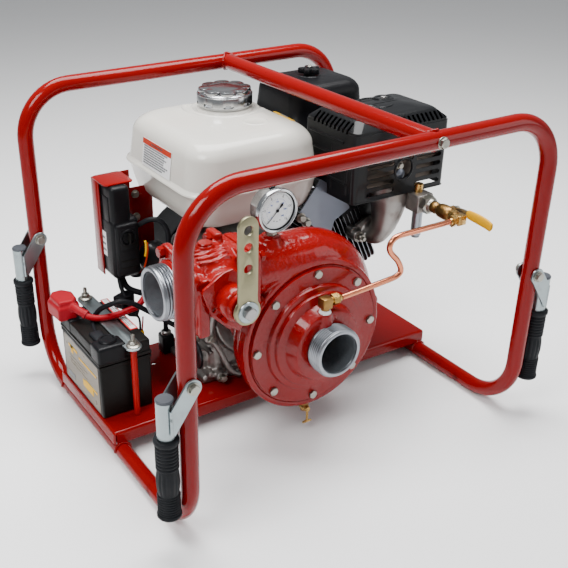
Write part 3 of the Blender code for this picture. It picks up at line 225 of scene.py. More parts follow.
def skin(rings, looped=False):
    """Faces between rings of vertex numbers; a ring may be one vertex many times."""
    pairs = list(zip(rings, rings[1:])) + ([(rings[-1], rings[0])] if looped else [])
    faces = []
    for low, high in pairs:
        for i in range(len(low)):
            j = (i + 1) % len(low)
            face = list(dict.fromkeys((low[i], low[j], high[j], high[i])))
            if len(face) > 2:
                faces.append(face)
    return faces


def layers(count, levels):
    """Rings of vertex numbers for a stack of outlines that have count points each."""
    return [list(range(level * count, (level + 1) * count)) for level in range(levels)]


def add_bit(verts, faces, mat, sharp=38.0):
    """A loose piece of mesh with one finish."""
    mesh = bpy.data.meshes.new("bit")
    mesh.from_pydata([tuple(v) for v in verts], [], faces)
    bm = bmesh.new()
    bm.from_mesh(mesh)
    bmesh.ops.recalc_face_normals(bm, faces=bm.faces)
    bm.to_mesh(mesh)
    bm.free()
    mesh.materials.append(mat)
    shade(mesh, sharp)
    return loose(mesh)


def basis(axis, hint=None):
    """Three unit vectors, the last of them along the axis."""
    axis = Vector(axis).normalized()
    hint = Vector(hint) if hint else (X if abs(axis.x) < 0.9 else Y)
    side = (hint - axis * hint.dot(axis)).normalized()
    return side, axis.cross(side), axis


def lathe(profile, at, axis, mat, steps=48, shape=None, hint=None, sharp=38.0):
    """A turned piece: (radius, height) points, closed into a ring unless it meets the axis.

    shape(angle, radius, height) may return a changed radius, for lobes, flutes and threads.
    """
    side, other, along = basis(axis, hint)
    at = Vector(at)
    closed = profile[0][0] > 1e-9 and profile[-1][0] > 1e-9
    verts, rings = [], []
    for radius, height in profile:
        if radius < 1e-9:
            rings.append([len(verts)] * steps)
            verts.append(at + along * height)
            continue
        ring = []
        for i in range(steps):
            angle = 2 * math.pi * i / steps
            r = shape(angle, radius, height) if shape else radius
            ring.append(len(verts))
            verts.append(at + side * r * math.cos(angle) + other * r * math.sin(angle) + along * height)
        rings.append(ring)
    return add_bit(verts, skin(rings, closed), mat, sharp)


def sweep(points, radius, mat, sides=20, closed=False, flat=None, sharp=38.0):
    """A bar along points; radius may be a list, and flat is (side, share) to squash it."""
    points = [Vector(p) for p in points]
    count = len(points)
    radii = radius if isinstance(radius, list) else [radius] * count
    verts, rings = [], []
    normal = None
    for i, point in enumerate(points):
        if closed:
            tangent = points[(i + 1) % count] - points[i - 1]
        else:
            tangent = points[min(i + 1, count - 1)] - points[max(i - 1, 0)]
        tangent.normalize()
        if normal is None:
            normal = basis(tangent)[0]
        normal = (normal - tangent * normal.dot(tangent)).normalized()
        other = tangent.cross(normal)
        ring = []
        for k in range(sides):
            angle = 2 * math.pi * k / sides
            out = (normal * math.cos(angle) + other * math.sin(angle)) * radii[i]
            if flat:
                out -= Vector(flat[0]) * out.dot(Vector(flat[0])) * (1 - flat[1])
            ring.append(len(verts))
            verts.append(point + out)
        rings.append(ring)
    faces = skin(rings, closed)
    if not closed:
        faces += [rings[0][::-1], rings[-1]]
    return add_bit(verts, faces, mat, sharp)


def smooth(points, per_span=6):
    """A smooth curve through the points (Catmull-Rom)."""
    ring = [Vector(p) for p in points]
    ring = [ring[0] * 2 - ring[1]] + ring + [ring[-1] * 2 - ring[-2]]
    route = []
    for a, b, c, d in zip(ring, ring[1:], ring[2:], ring[3:]):
        for i in range(per_span):
            t = i / per_span
            route.append(0.5 * (2 * b + (c - a) * t + (2 * a - 5 * b + 4 * c - d) * t * t
                                + (3 * b - a - 3 * c + d) * t ** 3))
    route.append(ring[-2])
    return route


def arc(centre, first, second, steps=14):
    """A quarter turn from centre + first to centre + second."""
    centre, first, second = Vector(centre), Vector(first), Vector(second)
    turn = [math.pi / 2 * i / steps for i in range(steps + 1)]
    return [centre + first * math.cos(a) + second * math.sin(a) for a in turn]


def ring2(x, y, radius, steps=24, start=0.0, turn=2 * math.pi):
    """Points round a circle, or along an arc of it."""
    last = steps if abs(turn) > 6.28 else steps - 1
    return [(x + radius * math.cos(start + turn * i / last), y + radius * math.sin(start + turn * i / last))
            for i in range(steps)]


def round_rect(hx, hy, r, steps=6, x=0.0, y=0.0):
    """The outline of a rectangle with round corners."""
    outline = []
    for index, (sx, sy) in enumerate(((1, 1), (-1, 1), (-1, -1), (1, -1))):
        outline += ring2(x + sx * (hx - r), y + sy * (hy - r), r, steps, index * math.pi / 2, math.pi / 2)
    return outline


def plate(outline, depth, at, normal, xdir, mat, holes=(), bevel=0.0):
    """A flat piece cut to an outline, with holes as (x, y, radius) or as outlines, its edges eased."""
    data = bpy.data.curves.new("bit", "CURVE")
    data.dimensions = "2D"
    data.fill_mode = "BOTH"
    data.extrude = depth / 2 - bevel
    data.bevel_depth = bevel
    data.bevel_resolution = 1 if bevel else 0
    data.offset = -bevel
    loops = [outline] + [ring2(*hole, 28) if isinstance(hole[0], float) else hole for hole in holes]
    for loop in loops:
        spline = data.splines.new("POLY")
        spline.points.add(len(loop) - 1)
        spline.use_cyclic_u = True
        for point, place in zip(spline.points, loop):
            point.co = (place[0], place[1], 0.0, 1.0)
    mesh = from_curve(data)
    side, other, up = basis(normal, xdir)
    turn = Matrix((side, other, up)).transposed()
    bm = bmesh.new()
    bm.from_mesh(mesh)
    bmesh.ops.remove_doubles(bm, verts=bm.verts, dist=0.00001)
    verts = [Vector(at) + turn @ v.co for v in bm.verts]
    faces = [[v.index for v in f.verts] for f in bm.faces]
    bm.free()
    return add_bit(verts, faces, mat, 30.0)


def block(lo, hi, mat, bevel=0.002, segments=3, spin=None):
    """A block with eased edges; spin is (axis, degrees) about its middle."""
    lo, hi = Vector(lo), Vector(hi)
    bm = bmesh.new()
    bmesh.ops.create_cube(bm, size=1.0)
    size, middle = hi - lo, (hi + lo) / 2
    for v in bm.verts:
        v.co = Vector(a * b for a, b in zip(v.co, size))
    bmesh.ops.bevel(bm, geom=bm.edges[:], offset=bevel, segments=segments, affect="EDGES", profile=0.5)
    if spin:
        bmesh.ops.rotate(bm, verts=bm.verts,
                         matrix=Matrix.Rotation(math.radians(spin[1]), 3, Vector(spin[0])))
    verts = [v.co + middle for v in bm.verts]
    faces = [[v.index for v in f.verts] for f in bm.faces]
    bm.free()
    return add_bit(verts, faces, mat, 30.0)


def rod(start, end, radius, mat, sides=28, ease=0.0):
    """A round bar with eased ends."""
    start, end = Vector(start), Vector(end)
    length = (end - start).length
    if ease:
        profile = [(0, 0), (radius - ease, 0), (radius, ease), (radius, length - ease),
                   (radius - ease, length), (0, length)]
    else:
        profile = [(0, 0), (radius, 0), (radius, length), (0, length)]
    return lathe(profile, start, end - start, mat, sides)


def hexagon(at, axis, across, height, mat, turn=0.0):
    """A hexagon head or nut with its top corners chamfered; at is the middle of its foot."""
    side, other, up = basis(axis)
    at = Vector(at)
    corner = across / math.sqrt(3)
    verts, rings = [], []
    for r_corner, r_flat, z_corner, z_flat in ((corner, across / 2, 0, 0),
                                               (corner, across / 2, height * 0.74, height * 0.9),
                                               (across * 0.45, across * 0.45, height, height)):
        ring = []
        for i in range(24):
            angle = math.pi * i / 12
            off = abs((angle % (math.pi / 3)) - math.pi / 6) / (math.pi / 6)
            hex_r = (across / 2) / math.cos((angle % (math.pi / 3)) - math.pi / 6)
            r = r_flat if r_corner == r_flat else hex_r
            z = z_flat + (z_corner - z_flat) * off * off
            ring.append(len(verts))
            verts.append(at + (side * math.cos(angle + turn) + other * math.sin(angle + turn)) * r + up * z)
        rings.append(ring)
    return add_bit(verts, [rings[0][::-1], rings[-1]] + skin(rings), mat, 28.0)


def threaded(inner, outer, start, end, at, axis, mat, pitch=0.0042, depth=0.0014, steps=72):
    """A ring with a helical thread outside; start and end are heights along the axis."""
    rows = max(8, int((end - start) / pitch * 8))
    profile = [(inner, start)]
    profile += [(outer, start + (end - start) * i / rows) for i in range(rows + 1)]
    profile += [(outer - depth, end + 0.0006), (inner + 0.0012, end + 0.0006), (inner, end - 0.0012)]

    def helix(angle, radius, height):
        if radius < outer - 0.0001:
            return radius
        phase = (height / pitch + angle / (2 * math.pi)) % 1.0
        fade = min(1.0, (height - start) / pitch, (end + 0.0004 - height) / (pitch * 0.6))
        return radius - depth * (abs(phase * 2 - 1) ** 1.3) * max(0.0,
                                                                  fade) - depth * (1 - max(0.0, fade)) * 0.5

    made = lathe(profile, at, axis, mat, steps, helix, sharp=50.0)
    if depth < 0.001:
        return made
    # Faces down in the groove take the darker finish, as painted shade in the grooves.
    made.data.materials.append(THREAD_SHADE)
    along = basis(axis)[2]
    for face in made.data.polygons:
        offset = face.center - Vector(at)
        height = offset.dot(along)
        away = (offset - along * height).length
        if outer - depth * 1.6 < away < outer - depth * 0.62 and start < height < end:
            face.material_index = 1
    return made


def bead(points, radius, mat=None, seed=1):
    """A weld bead: a lumpy bar along the joint."""
    dice = random.Random(seed)
    route = smooth(points, 7)
    radii = [radius * (0.86 + 0.22 * abs(math.sin(i * 1.7)) + 0.1 * dice.random())
             for i in range(len(route))]
    return sweep(route, radii, mat or PAINT, 10)


def weld(bits):
    """Several bits as one loose object that keeps their finishes."""
    bm = bmesh.new()
    finishes = []
    for bit in bits:
        mesh = applied(bit)
        slots = []
        for mat in mesh.materials:
            if mat not in finishes:
                finishes.append(mat)
            slots.append(finishes.index(mat))
        first = len(bm.faces)
        bm.from_mesh(mesh)
        bm.faces.ensure_lookup_table()
        for face in bm.faces[first:]:
            face.material_index = slots[face.material_index] if slots else 0
        bpy.data.meshes.remove(mesh)
        bpy.data.objects.remove(bit)
    mesh = bpy.data.meshes.new("bit")
    bm.to_mesh(mesh)
    bm.free()
    for mat in finishes:
        mesh.materials.append(mat)
    return loose(mesh)


def cast(bits, mat, voxel=0.0018, passes=4, sharp=60.0):
    """Overlapping solids melted into one casting with soft fillets."""
    obj = weld(bits)
    melt = obj.modifiers.new("melt", "REMESH")
    melt.mode = "VOXEL"
    melt.voxel_size = voxel
    ease = obj.modifiers.new("ease", "SMOOTH")
    ease.factor = 0.5
    ease.iterations = passes
    mesh = applied(obj)
    bpy.data.objects.remove(obj)
    mesh.materials.clear()
    mesh.materials.append(mat)
    shade(mesh, sharp)
    return loose(mesh)


def outward(obj):
    """Turn every face of a closed solid outward."""
    shell = bmesh.new()
    shell.from_mesh(obj.data)
    bmesh.ops.remove_doubles(shell, verts=shell.verts, dist=1e-6)
    bmesh.ops.recalc_face_normals(shell, faces=shell.faces)
    shell.to_mesh(obj.data)
    shell.free()


def cut(obj, *tools):
    """Take the tools out of a bit."""
    for part in (obj, *tools):
        outward(part)
    for tool in tools:
        step = obj.modifiers.new("cut", "BOOLEAN")
        step.operation = "DIFFERENCE"
        step.solver = "EXACT"
        step.object = tool
    mesh = applied(obj)
    for tool in tools:
        bpy.data.objects.remove(tool)
    bpy.data.objects.remove(obj)
    shade(mesh, 30)
    return loose(mesh)


def piece(name, bits, body=ROOT, replaces=()):
    """One finished piece of the object, riding on a body."""
    obj = weld(bits)
    obj.name = name
    obj.data.name = name
    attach(obj, body)
    if replaces:
        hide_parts(*replaces)
    return obj


def bolt(at, axis, across, height, mat=BOLT_ZINC, washer=0.0, turn=0.3):
    """A hexagon bolt head on its washer."""
    axis = Vector(axis).normalized()
    bits = []
    at = Vector(at)
    if washer:
        bits.append(lathe([(0, 0), (washer, 0), (washer, 0.0012), (washer - 0.0005, 0.0016), (0, 0.0016)],
                          at, axis, mat, 28))
        at = at + axis * 0.0016
    bits.append(hexagon(at, axis, across, height, mat, turn))
    return weld(bits)

# ---- Frame and base plate -----------------------------------------------------------------

TUBE_R = 0.0127
LEG_X = 0.298
LEG_Y = 0.2637
TOP_Z = 0.504
TOP_BEND = 0.08
FOOT_BEND = 0.085
CROSS_X = 0.073
HOOP_BOLT_X = 0.075
SHEET = 0.003


def hoop(side):
    """One inverted U with its legs turned into the skids."""
    y = side * LEG_Y
    foot_y = side * (LEG_Y - FOOT_BEND)
    shoulder_x, shoulder_z = LEG_X - TOP_BEND, TOP_Z - TOP_BEND
    out, down = (0, side * FOOT_BEND, 0), (0, 0, -FOOT_BEND)
    points = [(-LEG_X, foot_y - side * 0.03, TUBE_R)]
    points += arc((-LEG_X, foot_y, TUBE_R + FOOT_BEND), down, out)
    points += arc((-shoulder_x, y, shoulder_z), (-TOP_BEND, 0, 0), (0, 0, TOP_BEND))
    points += arc((shoulder_x, y, shoulder_z), (0, 0, TOP_BEND), (TOP_BEND, 0, 0))
    points += arc((LEG_X, foot_y, TUBE_R + FOOT_BEND), out, down)
    points += [(LEG_X, foot_y - side * 0.03, TUBE_R)]
    return sweep(points, TUBE_R, PAINT, 36)


def tube_frame():
    """Both hoops, the skids and the cross tube with their welds."""
    bits = [hoop(-1), hoop(1)]
    for side in (-1, 1):
        bits.append(rod((side * LEG_X, -0.16, TUBE_R), (side * LEG_X, 0.16, TUBE_R), TUBE_R, PAINT, 36))
        saddle = []
        for i in range(17):
            angle = 2 * math.pi * i / 16
            x, z = CROSS_X + (TUBE_R + 0.0006) * math.cos(angle), TOP_Z + (TUBE_R + 0.0006) * math.sin(angle)
            y = LEG_Y - math.sqrt(max(0.0, TUBE_R ** 2 - (z - TOP_Z) ** 2)) * 0.98
            saddle.append((x, side * y, z))
        bits.append(bead(saddle, 0.0022, seed=3 + side))
    bits.append(rod((CROSS_X, -LEG_Y + 0.004, TOP_Z), (CROSS_X, LEG_Y - 0.004, TOP_Z), TUBE_R, PAINT, 36))
    piece("tube_frame", bits, replaces=("front_hoop", "rear_hoop", "skid_tube_left", "skid_tube_right",
                                        "top_cross_tube"))
    face_y = -LEG_Y - TUBE_R + 0.0006
    piece("hoop_bolt_head", [bolt((HOOP_BOLT_X, face_y, TOP_Z), -Y, 0.0125, 0.0052, BOLT_ZINC, 0.0082)],
          replaces=("hoop_bolt",))


def base_pan():
    """The folded pan: easy bends, corner slits, welds to the skids and its fixing bolts."""
    lo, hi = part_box("base_plate")
    skin = block((lo.x, lo.y, lo.z - 0.006), hi, PAINT, 0.0055, 4)
    room = block((lo.x + SHEET, lo.y + SHEET, lo.z - 0.02), (hi.x - SHEET, hi.y - SHEET, hi.z - SHEET),
                 PAINT, 0.0025)
    under = block((lo.x - 0.01, lo.y - 0.01, lo.z - 0.03), (hi.x + 0.01, hi.y + 0.01, lo.z), PAINT, 0.001, 1)
    slits = [block((side * (hi.x - 0.0035) - 0.0008, lo.y - 0.01, lo.z - 0.01),
                   (side * (hi.x - 0.0035) + 0.0008, lo.y + 0.008, hi.z - 0.004), PAINT, 0.0002, 1)
             for side in (-1, 1)]
    holes = [rod((x, y, 0.03), (x, y, 0.06), 0.0042, PAINT, 20) for x, y in ((-0.166, 0.112), (-0.19, 0.02))]
    bits = [cut(skin, room, under, *slits, *holes)]
    for side in (-1, 1):
        for y in (lo.y, hi.y):
            arch = [(side * LEG_X + 0.0135 * math.cos(a), y - 0.0004 * (1 if y < 0 else -1),
                     TUBE_R + 0.0135 * math.sin(a)) for a in (math.pi * i / 8 for i in range(9))]
            bits.append(bead(arch, 0.002, seed=11 + side))
    piece("base_pan", bits, replaces=("base_plate",))
    feet = []
    for x, y in ((-0.104, 0.02), (-0.104, 0.12), (0.08, 0.02), (0.08, 0.12)):
        feet.append(bolt((x, y, hi.z + 0.0146), Z, 0.0125, 0.0065, BOLT_ZINC, 0.01, turn=x * 9))
    piece("mounting_bolts", feet)


tube_frame()
base_pan()

# ---- Carrying handles ---------------------------------------------------------------------

PIVOT_Z = 0.2583
HANDLE_OFFSET = 0.032
HANDLE_R = 0.0118
HANDLE_BOTTOM = 0.067
HANDLE_TOP = PIVOT_Z - 0.0155
GRIP_TOP = 0.187
GRIP_LENGTH = 0.124


def rubber_grip(x, y):
    """A ribbed grip: rings at both ends of a fluted, slightly fuller middle, and a dished end."""
    top, bottom = GRIP_TOP, GRIP_TOP - GRIP_LENGTH
    profile = [(HANDLE_R + 0.0002, top - 0.002), (HANDLE_R + 0.0002, top), (0.016, top),
               (0.0169, top - 0.001), (0.0169, top - 0.0058), (0.0158, top - 0.007), (0.0139, top - 0.0082)]
    for low, high, count in ((0.38, 0.085, 7), (0.955, 0.7, 8)):
        pitch = (low - high) * GRIP_LENGTH / count
        for i in range(count):
            z = top - high * GRIP_LENGTH - i * pitch
            profile += [(0.0139, z), (0.0152, z - pitch * 0.18), (0.0156, z - pitch * 0.4),
                        (0.0152, z - pitch * 0.62), (0.0139, z - pitch * 0.8)]
        if high < 0.3:
            for i in range(15):
                t = i / 14
                profile.append((0.0142 + 0.0018 * math.sin(math.pi * t),
                                top - (0.385 + 0.305 * t) * GRIP_LENGTH))
    profile += [(0.0139, bottom + 0.0058), (0.016, bottom + 0.0048), (0.0168, bottom + 0.0036),
                (0.0168, bottom + 0.001), (0.016, bottom), (0.008, bottom), (0.006, bottom + 0.0015),
                (0.0, bottom + 0.0015)]
    middle_top, middle_low = top - 0.385 * GRIP_LENGTH, top - 0.69 * GRIP_LENGTH

    def flutes(angle, radius, height):
        if not middle_low < height < middle_top:
            return radius
        edge = min(1.0, (middle_top - height) / 0.004, (height - middle_low) / 0.004)
        return radius - 0.0011 * edge * (0.5 + 0.5 * math.cos(14 * angle)) ** 2

    profile = [(0.0, top - 0.002)] + profile
    return lathe(profile, (x, y, 0), Z, RUBBER, 84, flutes, sharp=50.0)


def carrying_handle(name, x_side, y_side):
    """The zinc tube with its end cap, welded ears, pivot bolt and nut, and its rubber grip."""
    leg_x, leg_y = x_side * LEG_X, y_side * LEG_Y
    x = x_side * (LEG_X + HANDLE_OFFSET)
    wall = lathe([(HANDLE_R - 0.002, HANDLE_BOTTOM), (HANDLE_R, HANDLE_BOTTOM), (HANDLE_R, HANDLE_TOP),
                  (HANDLE_R - 0.002, HANDLE_TOP)], (x, leg_y, 0), Z, ZINC, 36)
    lid = lathe([(0, HANDLE_TOP - 0.006), (HANDLE_R - 0.002, HANDLE_TOP - 0.006),
                 (HANDLE_R - 0.002, HANDLE_TOP), (HANDLE_R + 0.0004, HANDLE_TOP + 0.0002),
                 (HANDLE_R + 0.0004, HANDLE_TOP + 0.0022), (HANDLE_R - 0.001, HANDLE_TOP + 0.0038),
                 (HANDLE_R - 0.005, HANDLE_TOP + 0.0042), (0, HANDLE_TOP + 0.0034)], (x, leg_y, 0), Z,
                CAP_PLASTIC, 36)
    bits = [wall, lid]
    ear_y = TUBE_R + 0.0006
    outline = ring2(0, 0, 0.0122, 14, math.radians(-48), math.radians(183))
    outline += mm((-30.5, -22.5), (-30.5, -60), (-27, -61))
    outline = [(-x_side * px, py) for px, py in outline]
    if x_side > 0:
        outline = outline[::-1]
    for side in (-1, 1):
        middle = leg_y + side * (ear_y + SHEET / 2)
        bits.append(ear(outline, (leg_x, middle, PIVOT_Z)))
        bead_x = leg_x + x_side * 0.0305
        seam_y = leg_y + side * (ear_y + SHEET * 0.5)
        seam = [(bead_x, seam_y, PIVOT_Z - 0.0235 - 0.0074 * i) for i in range(6)]
        bits.append(bead(seam, 0.0022, ZINC, seed=5 + side))
    face = ear_y + SHEET
    bits.append(bolt((leg_x, leg_y - face, PIVOT_Z), -Y, 0.0128, 0.0048, BOLT_ZINC, 0.0088))
    bits.append(bolt((leg_x, leg_y + face, PIVOT_Z), Y, 0.0128, 0.0056, BOLT_ZINC, 0.0082, turn=0.1))
    bits.append(rod((leg_x, leg_y + face, PIVOT_Z), (leg_x, leg_y + face + 0.0088, PIVOT_Z), 0.0038,
                    BOLT_ZINC, 20, 0.0006))
    piece(f"carry_arm_{name}", bits, f"handle_{name}", (f"handle_arm_{name}",))
    piece(f"carry_grip_{name}", [rubber_grip(x, leg_y)], f"handle_{name}", (f"handle_grip_{name}",))


def ear(outline, at):
    """A pivot ear standing in the plane across Y, drawn as (x, z) about the pivot."""
    count = len(outline)
    verts = []
    for side, inset in ((-1, 0.0004), (-1, 0.0), (1, 0.0), (1, 0.0004)):
        depth = SHEET / 2 - (0.0 if inset else 0.0004)
        for px, pz in outline:
            middle = (0.0, -0.02)
            dx, dz = px - middle[0], pz - middle[1]
            length = math.hypot(dx, dz)
            share = (length - inset) / length
            verts.append((at[0] + middle[0] + dx * share, at[1] + side * depth,
                          at[2] + middle[1] + dz * share))
    rings = layers(count, 4)
    return add_bit(verts, [rings[0], rings[3][::-1]] + skin(rings), ZINC, 35.0)


for handle_name, x_sign, y_sign in (("rear_left", -1, 1), ("front_left", -1, -1), ("front_right", 1, -1),
                                    ("rear_right", 1, 1)):
    carrying_handle(handle_name, x_sign, y_sign)

# ---- Battery ------------------------------------------------------------------------------

STRAP_X = -0.256


def label(corner, along, up, size, ground, bars, border=None, lift=0.0003):
    """A thin label with generic print. bars are (x, y, width, height, finish) as shares of size."""
    corner, along, up = Vector(corner), Vector(along).normalized(), Vector(up).normalized()
    out = along.cross(up)
    bits = []
    sheets = [(0.0, 0.0, 1.0, 1.0, ground, 0.0)]
    if border:
        sheets[0] = (0.0, 0.0, 1.0, 1.0, border, 0.0)
        edge_x, edge_y = 0.0022 / size[0], 0.0022 / size[1]
        sheets.append((edge_x, edge_y, 1 - 2 * edge_x, 1 - 2 * edge_y, ground, lift * 0.6))
    sheets += [(*bar, lift * 1.2) for bar in bars]
    for x, y, w, h, mat, rise in sheets:
        foot = corner + along * x * size[0] + up * y * size[1] + out * rise
        a, b = along * w * size[0], up * h * size[1]
        tip = out * lift
        verts = [foot, foot + a, foot + a + b, foot + b, foot + tip, foot + a + tip, foot + a + b + tip,
                 foot + b + tip]
        faces = [[0, 3, 2, 1], [4, 5, 6, 7], [0, 1, 5, 4], [1, 2, 6, 5], [2, 3, 7, 6], [3, 0, 4, 7]]
        bits.append(add_bit(verts, faces, mat))
    return bits


def text_rows(x, y, width, rows, pitch, height, mat, seed):
    """Bars that stand for lines of print, broken into words."""
    dice = random.Random(seed)
    bars = []
    for row in range(rows):
        at = x
        end = x + width * (0.72 + 0.28 * dice.random())
        while at < end - 0.02:
            word = min(end - at, width * (0.06 + 0.12 * dice.random()))
            bars.append((at, y - row * pitch, word, height, mat))
            at += word + width * 0.02
    return bars


# How far the strap and its nuts stand above their CAD places, to clear the lid.
STRAP_LIFT = 0.0005


def battery():
    """Case with its moulded ledge, lid with covers and labels, the strap and its rods."""
    lo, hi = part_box("battery_case")
    lid_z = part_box("battery_lid")[0].z
    top = lo.z + 0.115
    bits = [block(lo, (hi.x, hi.y, hi.z), CASE, 0.0035, 3)]
    bits.append(block((lo.x - 0.001, lo.y - 0.001, hi.z - 0.007), (hi.x + 0.001, hi.y + 0.001, hi.z - 0.001),
                      CASE, 0.0015, 2))
    for i in range(5):
        y = lo.y + 0.022 + i * 0.028
        bits.append(block((hi.x - 0.004, y, lo.z + 0.004), (hi.x + 0.0008, y + 0.003, top), CASE, 0.0005, 1))
    bars = [(0.2, 0.66, 0.07, 0.16, YELLOW_PRINT), (0.14, 0.76, 0.26, 0.06, YELLOW_PRINT),
            (0.44, 0.7, 0.5, 0.035, YELLOW_PRINT), (0.52, 0.2, 0.3, 0.14, YELLOW_PRINT),
            (0.6, 0.34, 0.34, 0.04, YELLOW_PRINT), (0.06, 0.08, 0.2, 0.1, PRINT)]
    bars += text_rows(0.14, 0.56, 0.6, 3, 0.07, 0.02, BEIGE, 5)
    bits += label((lo.x - 0.0001, hi.y - 0.008, lo.z + 0.006), -Y, Z, (0.138, 0.086), BATTERY_PRINT, bars)
    piece("battery_body", bits, replaces=("battery_case",))
    z0, z1 = lid_z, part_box("clamp_strap")[0].z - 0.0002 + STRAP_LIFT
    bits = [block((lo.x - 0.0015, lo.y - 0.0015, z0), (hi.x + 0.0015, hi.y + 0.0015, z0 + 0.006), CASE,
                  0.0015, 3)]
    bits.append(block((lo.x, lo.y, z0 + 0.004), (hi.x, hi.y, z1), CASE, 0.003, 3))
    bits.append(block((lo.x - 0.001, hi.y - 0.044, z0 + 0.004), (lo.x + 0.036, hi.y + 0.001, z1 + 0.002),
                      BLACK, 0.004, 3))
    bits.append(block((lo.x - 0.0016, lo.y - 0.0026, z0 + 0.002), (lo.x + 0.046, lo.y + 0.03, z1 + 0.006),
                      BLACK, 0.005, 4))
    bits.append(lathe(mm((0, 0), (15, 0), (15, 4), (13.2, 6.2), (10, 6.2), (9.2, 5), (0, 5)),
                      (lo.x + 0.024, lo.y + 0.02, z1 + 0.003), Z, BLACK, 40))
    bits.append(block((lo.x + 0.009, lo.y + 0.03, z1 - 0.001), (lo.x + 0.03, lo.y + 0.06, z1 + 0.005),
                      RUBBER, 0.004, 3))
    rows = text_rows(0.1, 0.7, 0.8, 3, 0.24, 0.1, PRINT, 8)
    bits += label((hi.x - 0.001, lo.y + 0.04, z1), Y, -X, (0.118, 0.0135), PAPER, rows, RED_PRINT)
    piece("battery_top", bits, replaces=("battery_lid",))
    strap_lo, strap_hi = [corner + Z * STRAP_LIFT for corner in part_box("clamp_strap")]
    outline = ring2(0, strap_hi.y - 0.0135, 0.0135, 14, 0.0, math.pi)
    outline += ring2(0, strap_lo.y + 0.0135, 0.0135, 14, math.pi, math.pi)
    rods = [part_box(f"clamp_rod_{end}") for end in ("front", "rear")]
    ys = [(a.y + b.y) / 2 for a, b in rods]
    bar = plate(outline, SHEET, (STRAP_X, 0, strap_lo.z + SHEET / 2 + 0.0002), Z, X, ZINC,
                [(0.0, y, 0.0044) for y in ys], 0.0005)
    piece("hold_down_strap", [bar], replaces=("clamp_strap",))
    plate_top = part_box("base_plate")[1].z
    for end, y in zip(("front", "rear"), ys):
        foot, seat = plate_top + 0.0004, strap_hi.z + 0.0004
        bits = [rod((STRAP_X, y, foot), (STRAP_X, y, strap_lo.z - 0.0002), 0.005, RED_SLEEVE, 24, 0.0006)]
        bits.append(lathe(mm((0, 0), (10.8, 0), (10.8, 1.4), (8.2, 3), (0, 3)), (STRAP_X, y, seat), Z,
                          BOLT_ZINC, 28))
        bits.append(hexagon((STRAP_X, y, seat + 0.0026), Z, 0.0122, 0.0062, BOLT_ZINC, 0.4))
        bits.append(threaded(0.0004, 0.0032, 0.0, 0.0125, (STRAP_X, y, seat + 0.006), Z, BOLT_ZINC, 0.0013,
                             0.0004, 24))
        piece(f"hold_down_rod_{end}", bits, replaces=(f"clamp_rod_{end}",))


def boot_and_leads():
    """The red boot over the rear terminal and both battery leads."""
    low_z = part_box("positive_boot")[0].z
    outline = mm((-20, -20), (8, -24), (19, -12), (21, 16), (6, 34), (-14, 34), (-23, 20))
    middle = (-0.302, 0.143, (low_z - 0.002 + 0.191) / 2)
    shell = plate(outline, 0.193 - low_z, middle, Z, X, RED_RUBBER, bevel=0.0045)
    crown = plate([(x * 0.84, y * 0.84) for x, y in outline], 0.012, (middle[0], middle[1], 0.1935), Z, X,
                  RED_RUBBER, bevel=0.0035)
    neck = mm((-298, 130, 188), (-295, 119, 187), (-290, 109, 184), (-285, 102, 181))
    sleeve = sweep(smooth(neck, 5), 0.0068, RED_RUBBER, 24)
    body = cast([shell, crown, sleeve], RED_RUBBER, 0.0014, 5)
    lip = sweep([(-0.286, 0.103, 0.1815), (-0.284, 0.1, 0.18)], 0.0076, RED_RUBBER, 24)
    piece("terminal_boot", [body, lip], replaces=("positive_boot",))
    route = mm((-286, 103, 182), (-281, 96, 178), (-268, 88, 175.5), (-245, 82, 176.5), (-222, 81, 179),
               (-203, 81, 183), (-186, 83, 198), (-166, 86, 216))
    lead = sweep(smooth(route, 8), 0.0052, RED_CABLE, 24)
    lug = rod((-0.166, 0.086, 0.216), (-0.1625, 0.09, 0.228), 0.0042, BRASS, 16)
    piece("positive_lead", [lead, lug], replaces=("positive_cable",))
    route = mm((-286, 60, 164), (-280, 86, 166), (-272, 100, 172), (-262, 96, 186), (-250, 82, 198),
               (-236, 73, 203), (-218, 70, 197), (-201, 68, 184), (-166, 60, 156), (-140, 50, 136),
               (-124, 46, 122))
    lead = sweep(smooth(route, 8), 0.0042, WIRE_BLACK, 24)
    tag = plate(round_rect(0.006, 0.009, 0.003), 0.0015, (-0.1175, 0.044, 0.118), X, Y, BOLT_ZINC,
                bevel=0.0003)
    piece("negative_lead", [lead, tag, bolt((-0.117, 0.044, 0.116), -X, 0.01, 0.004)],
          replaces=("negative_cable",))


battery()
boot_and_leads()

# ---- Start control ------------------------------------------------------------------------


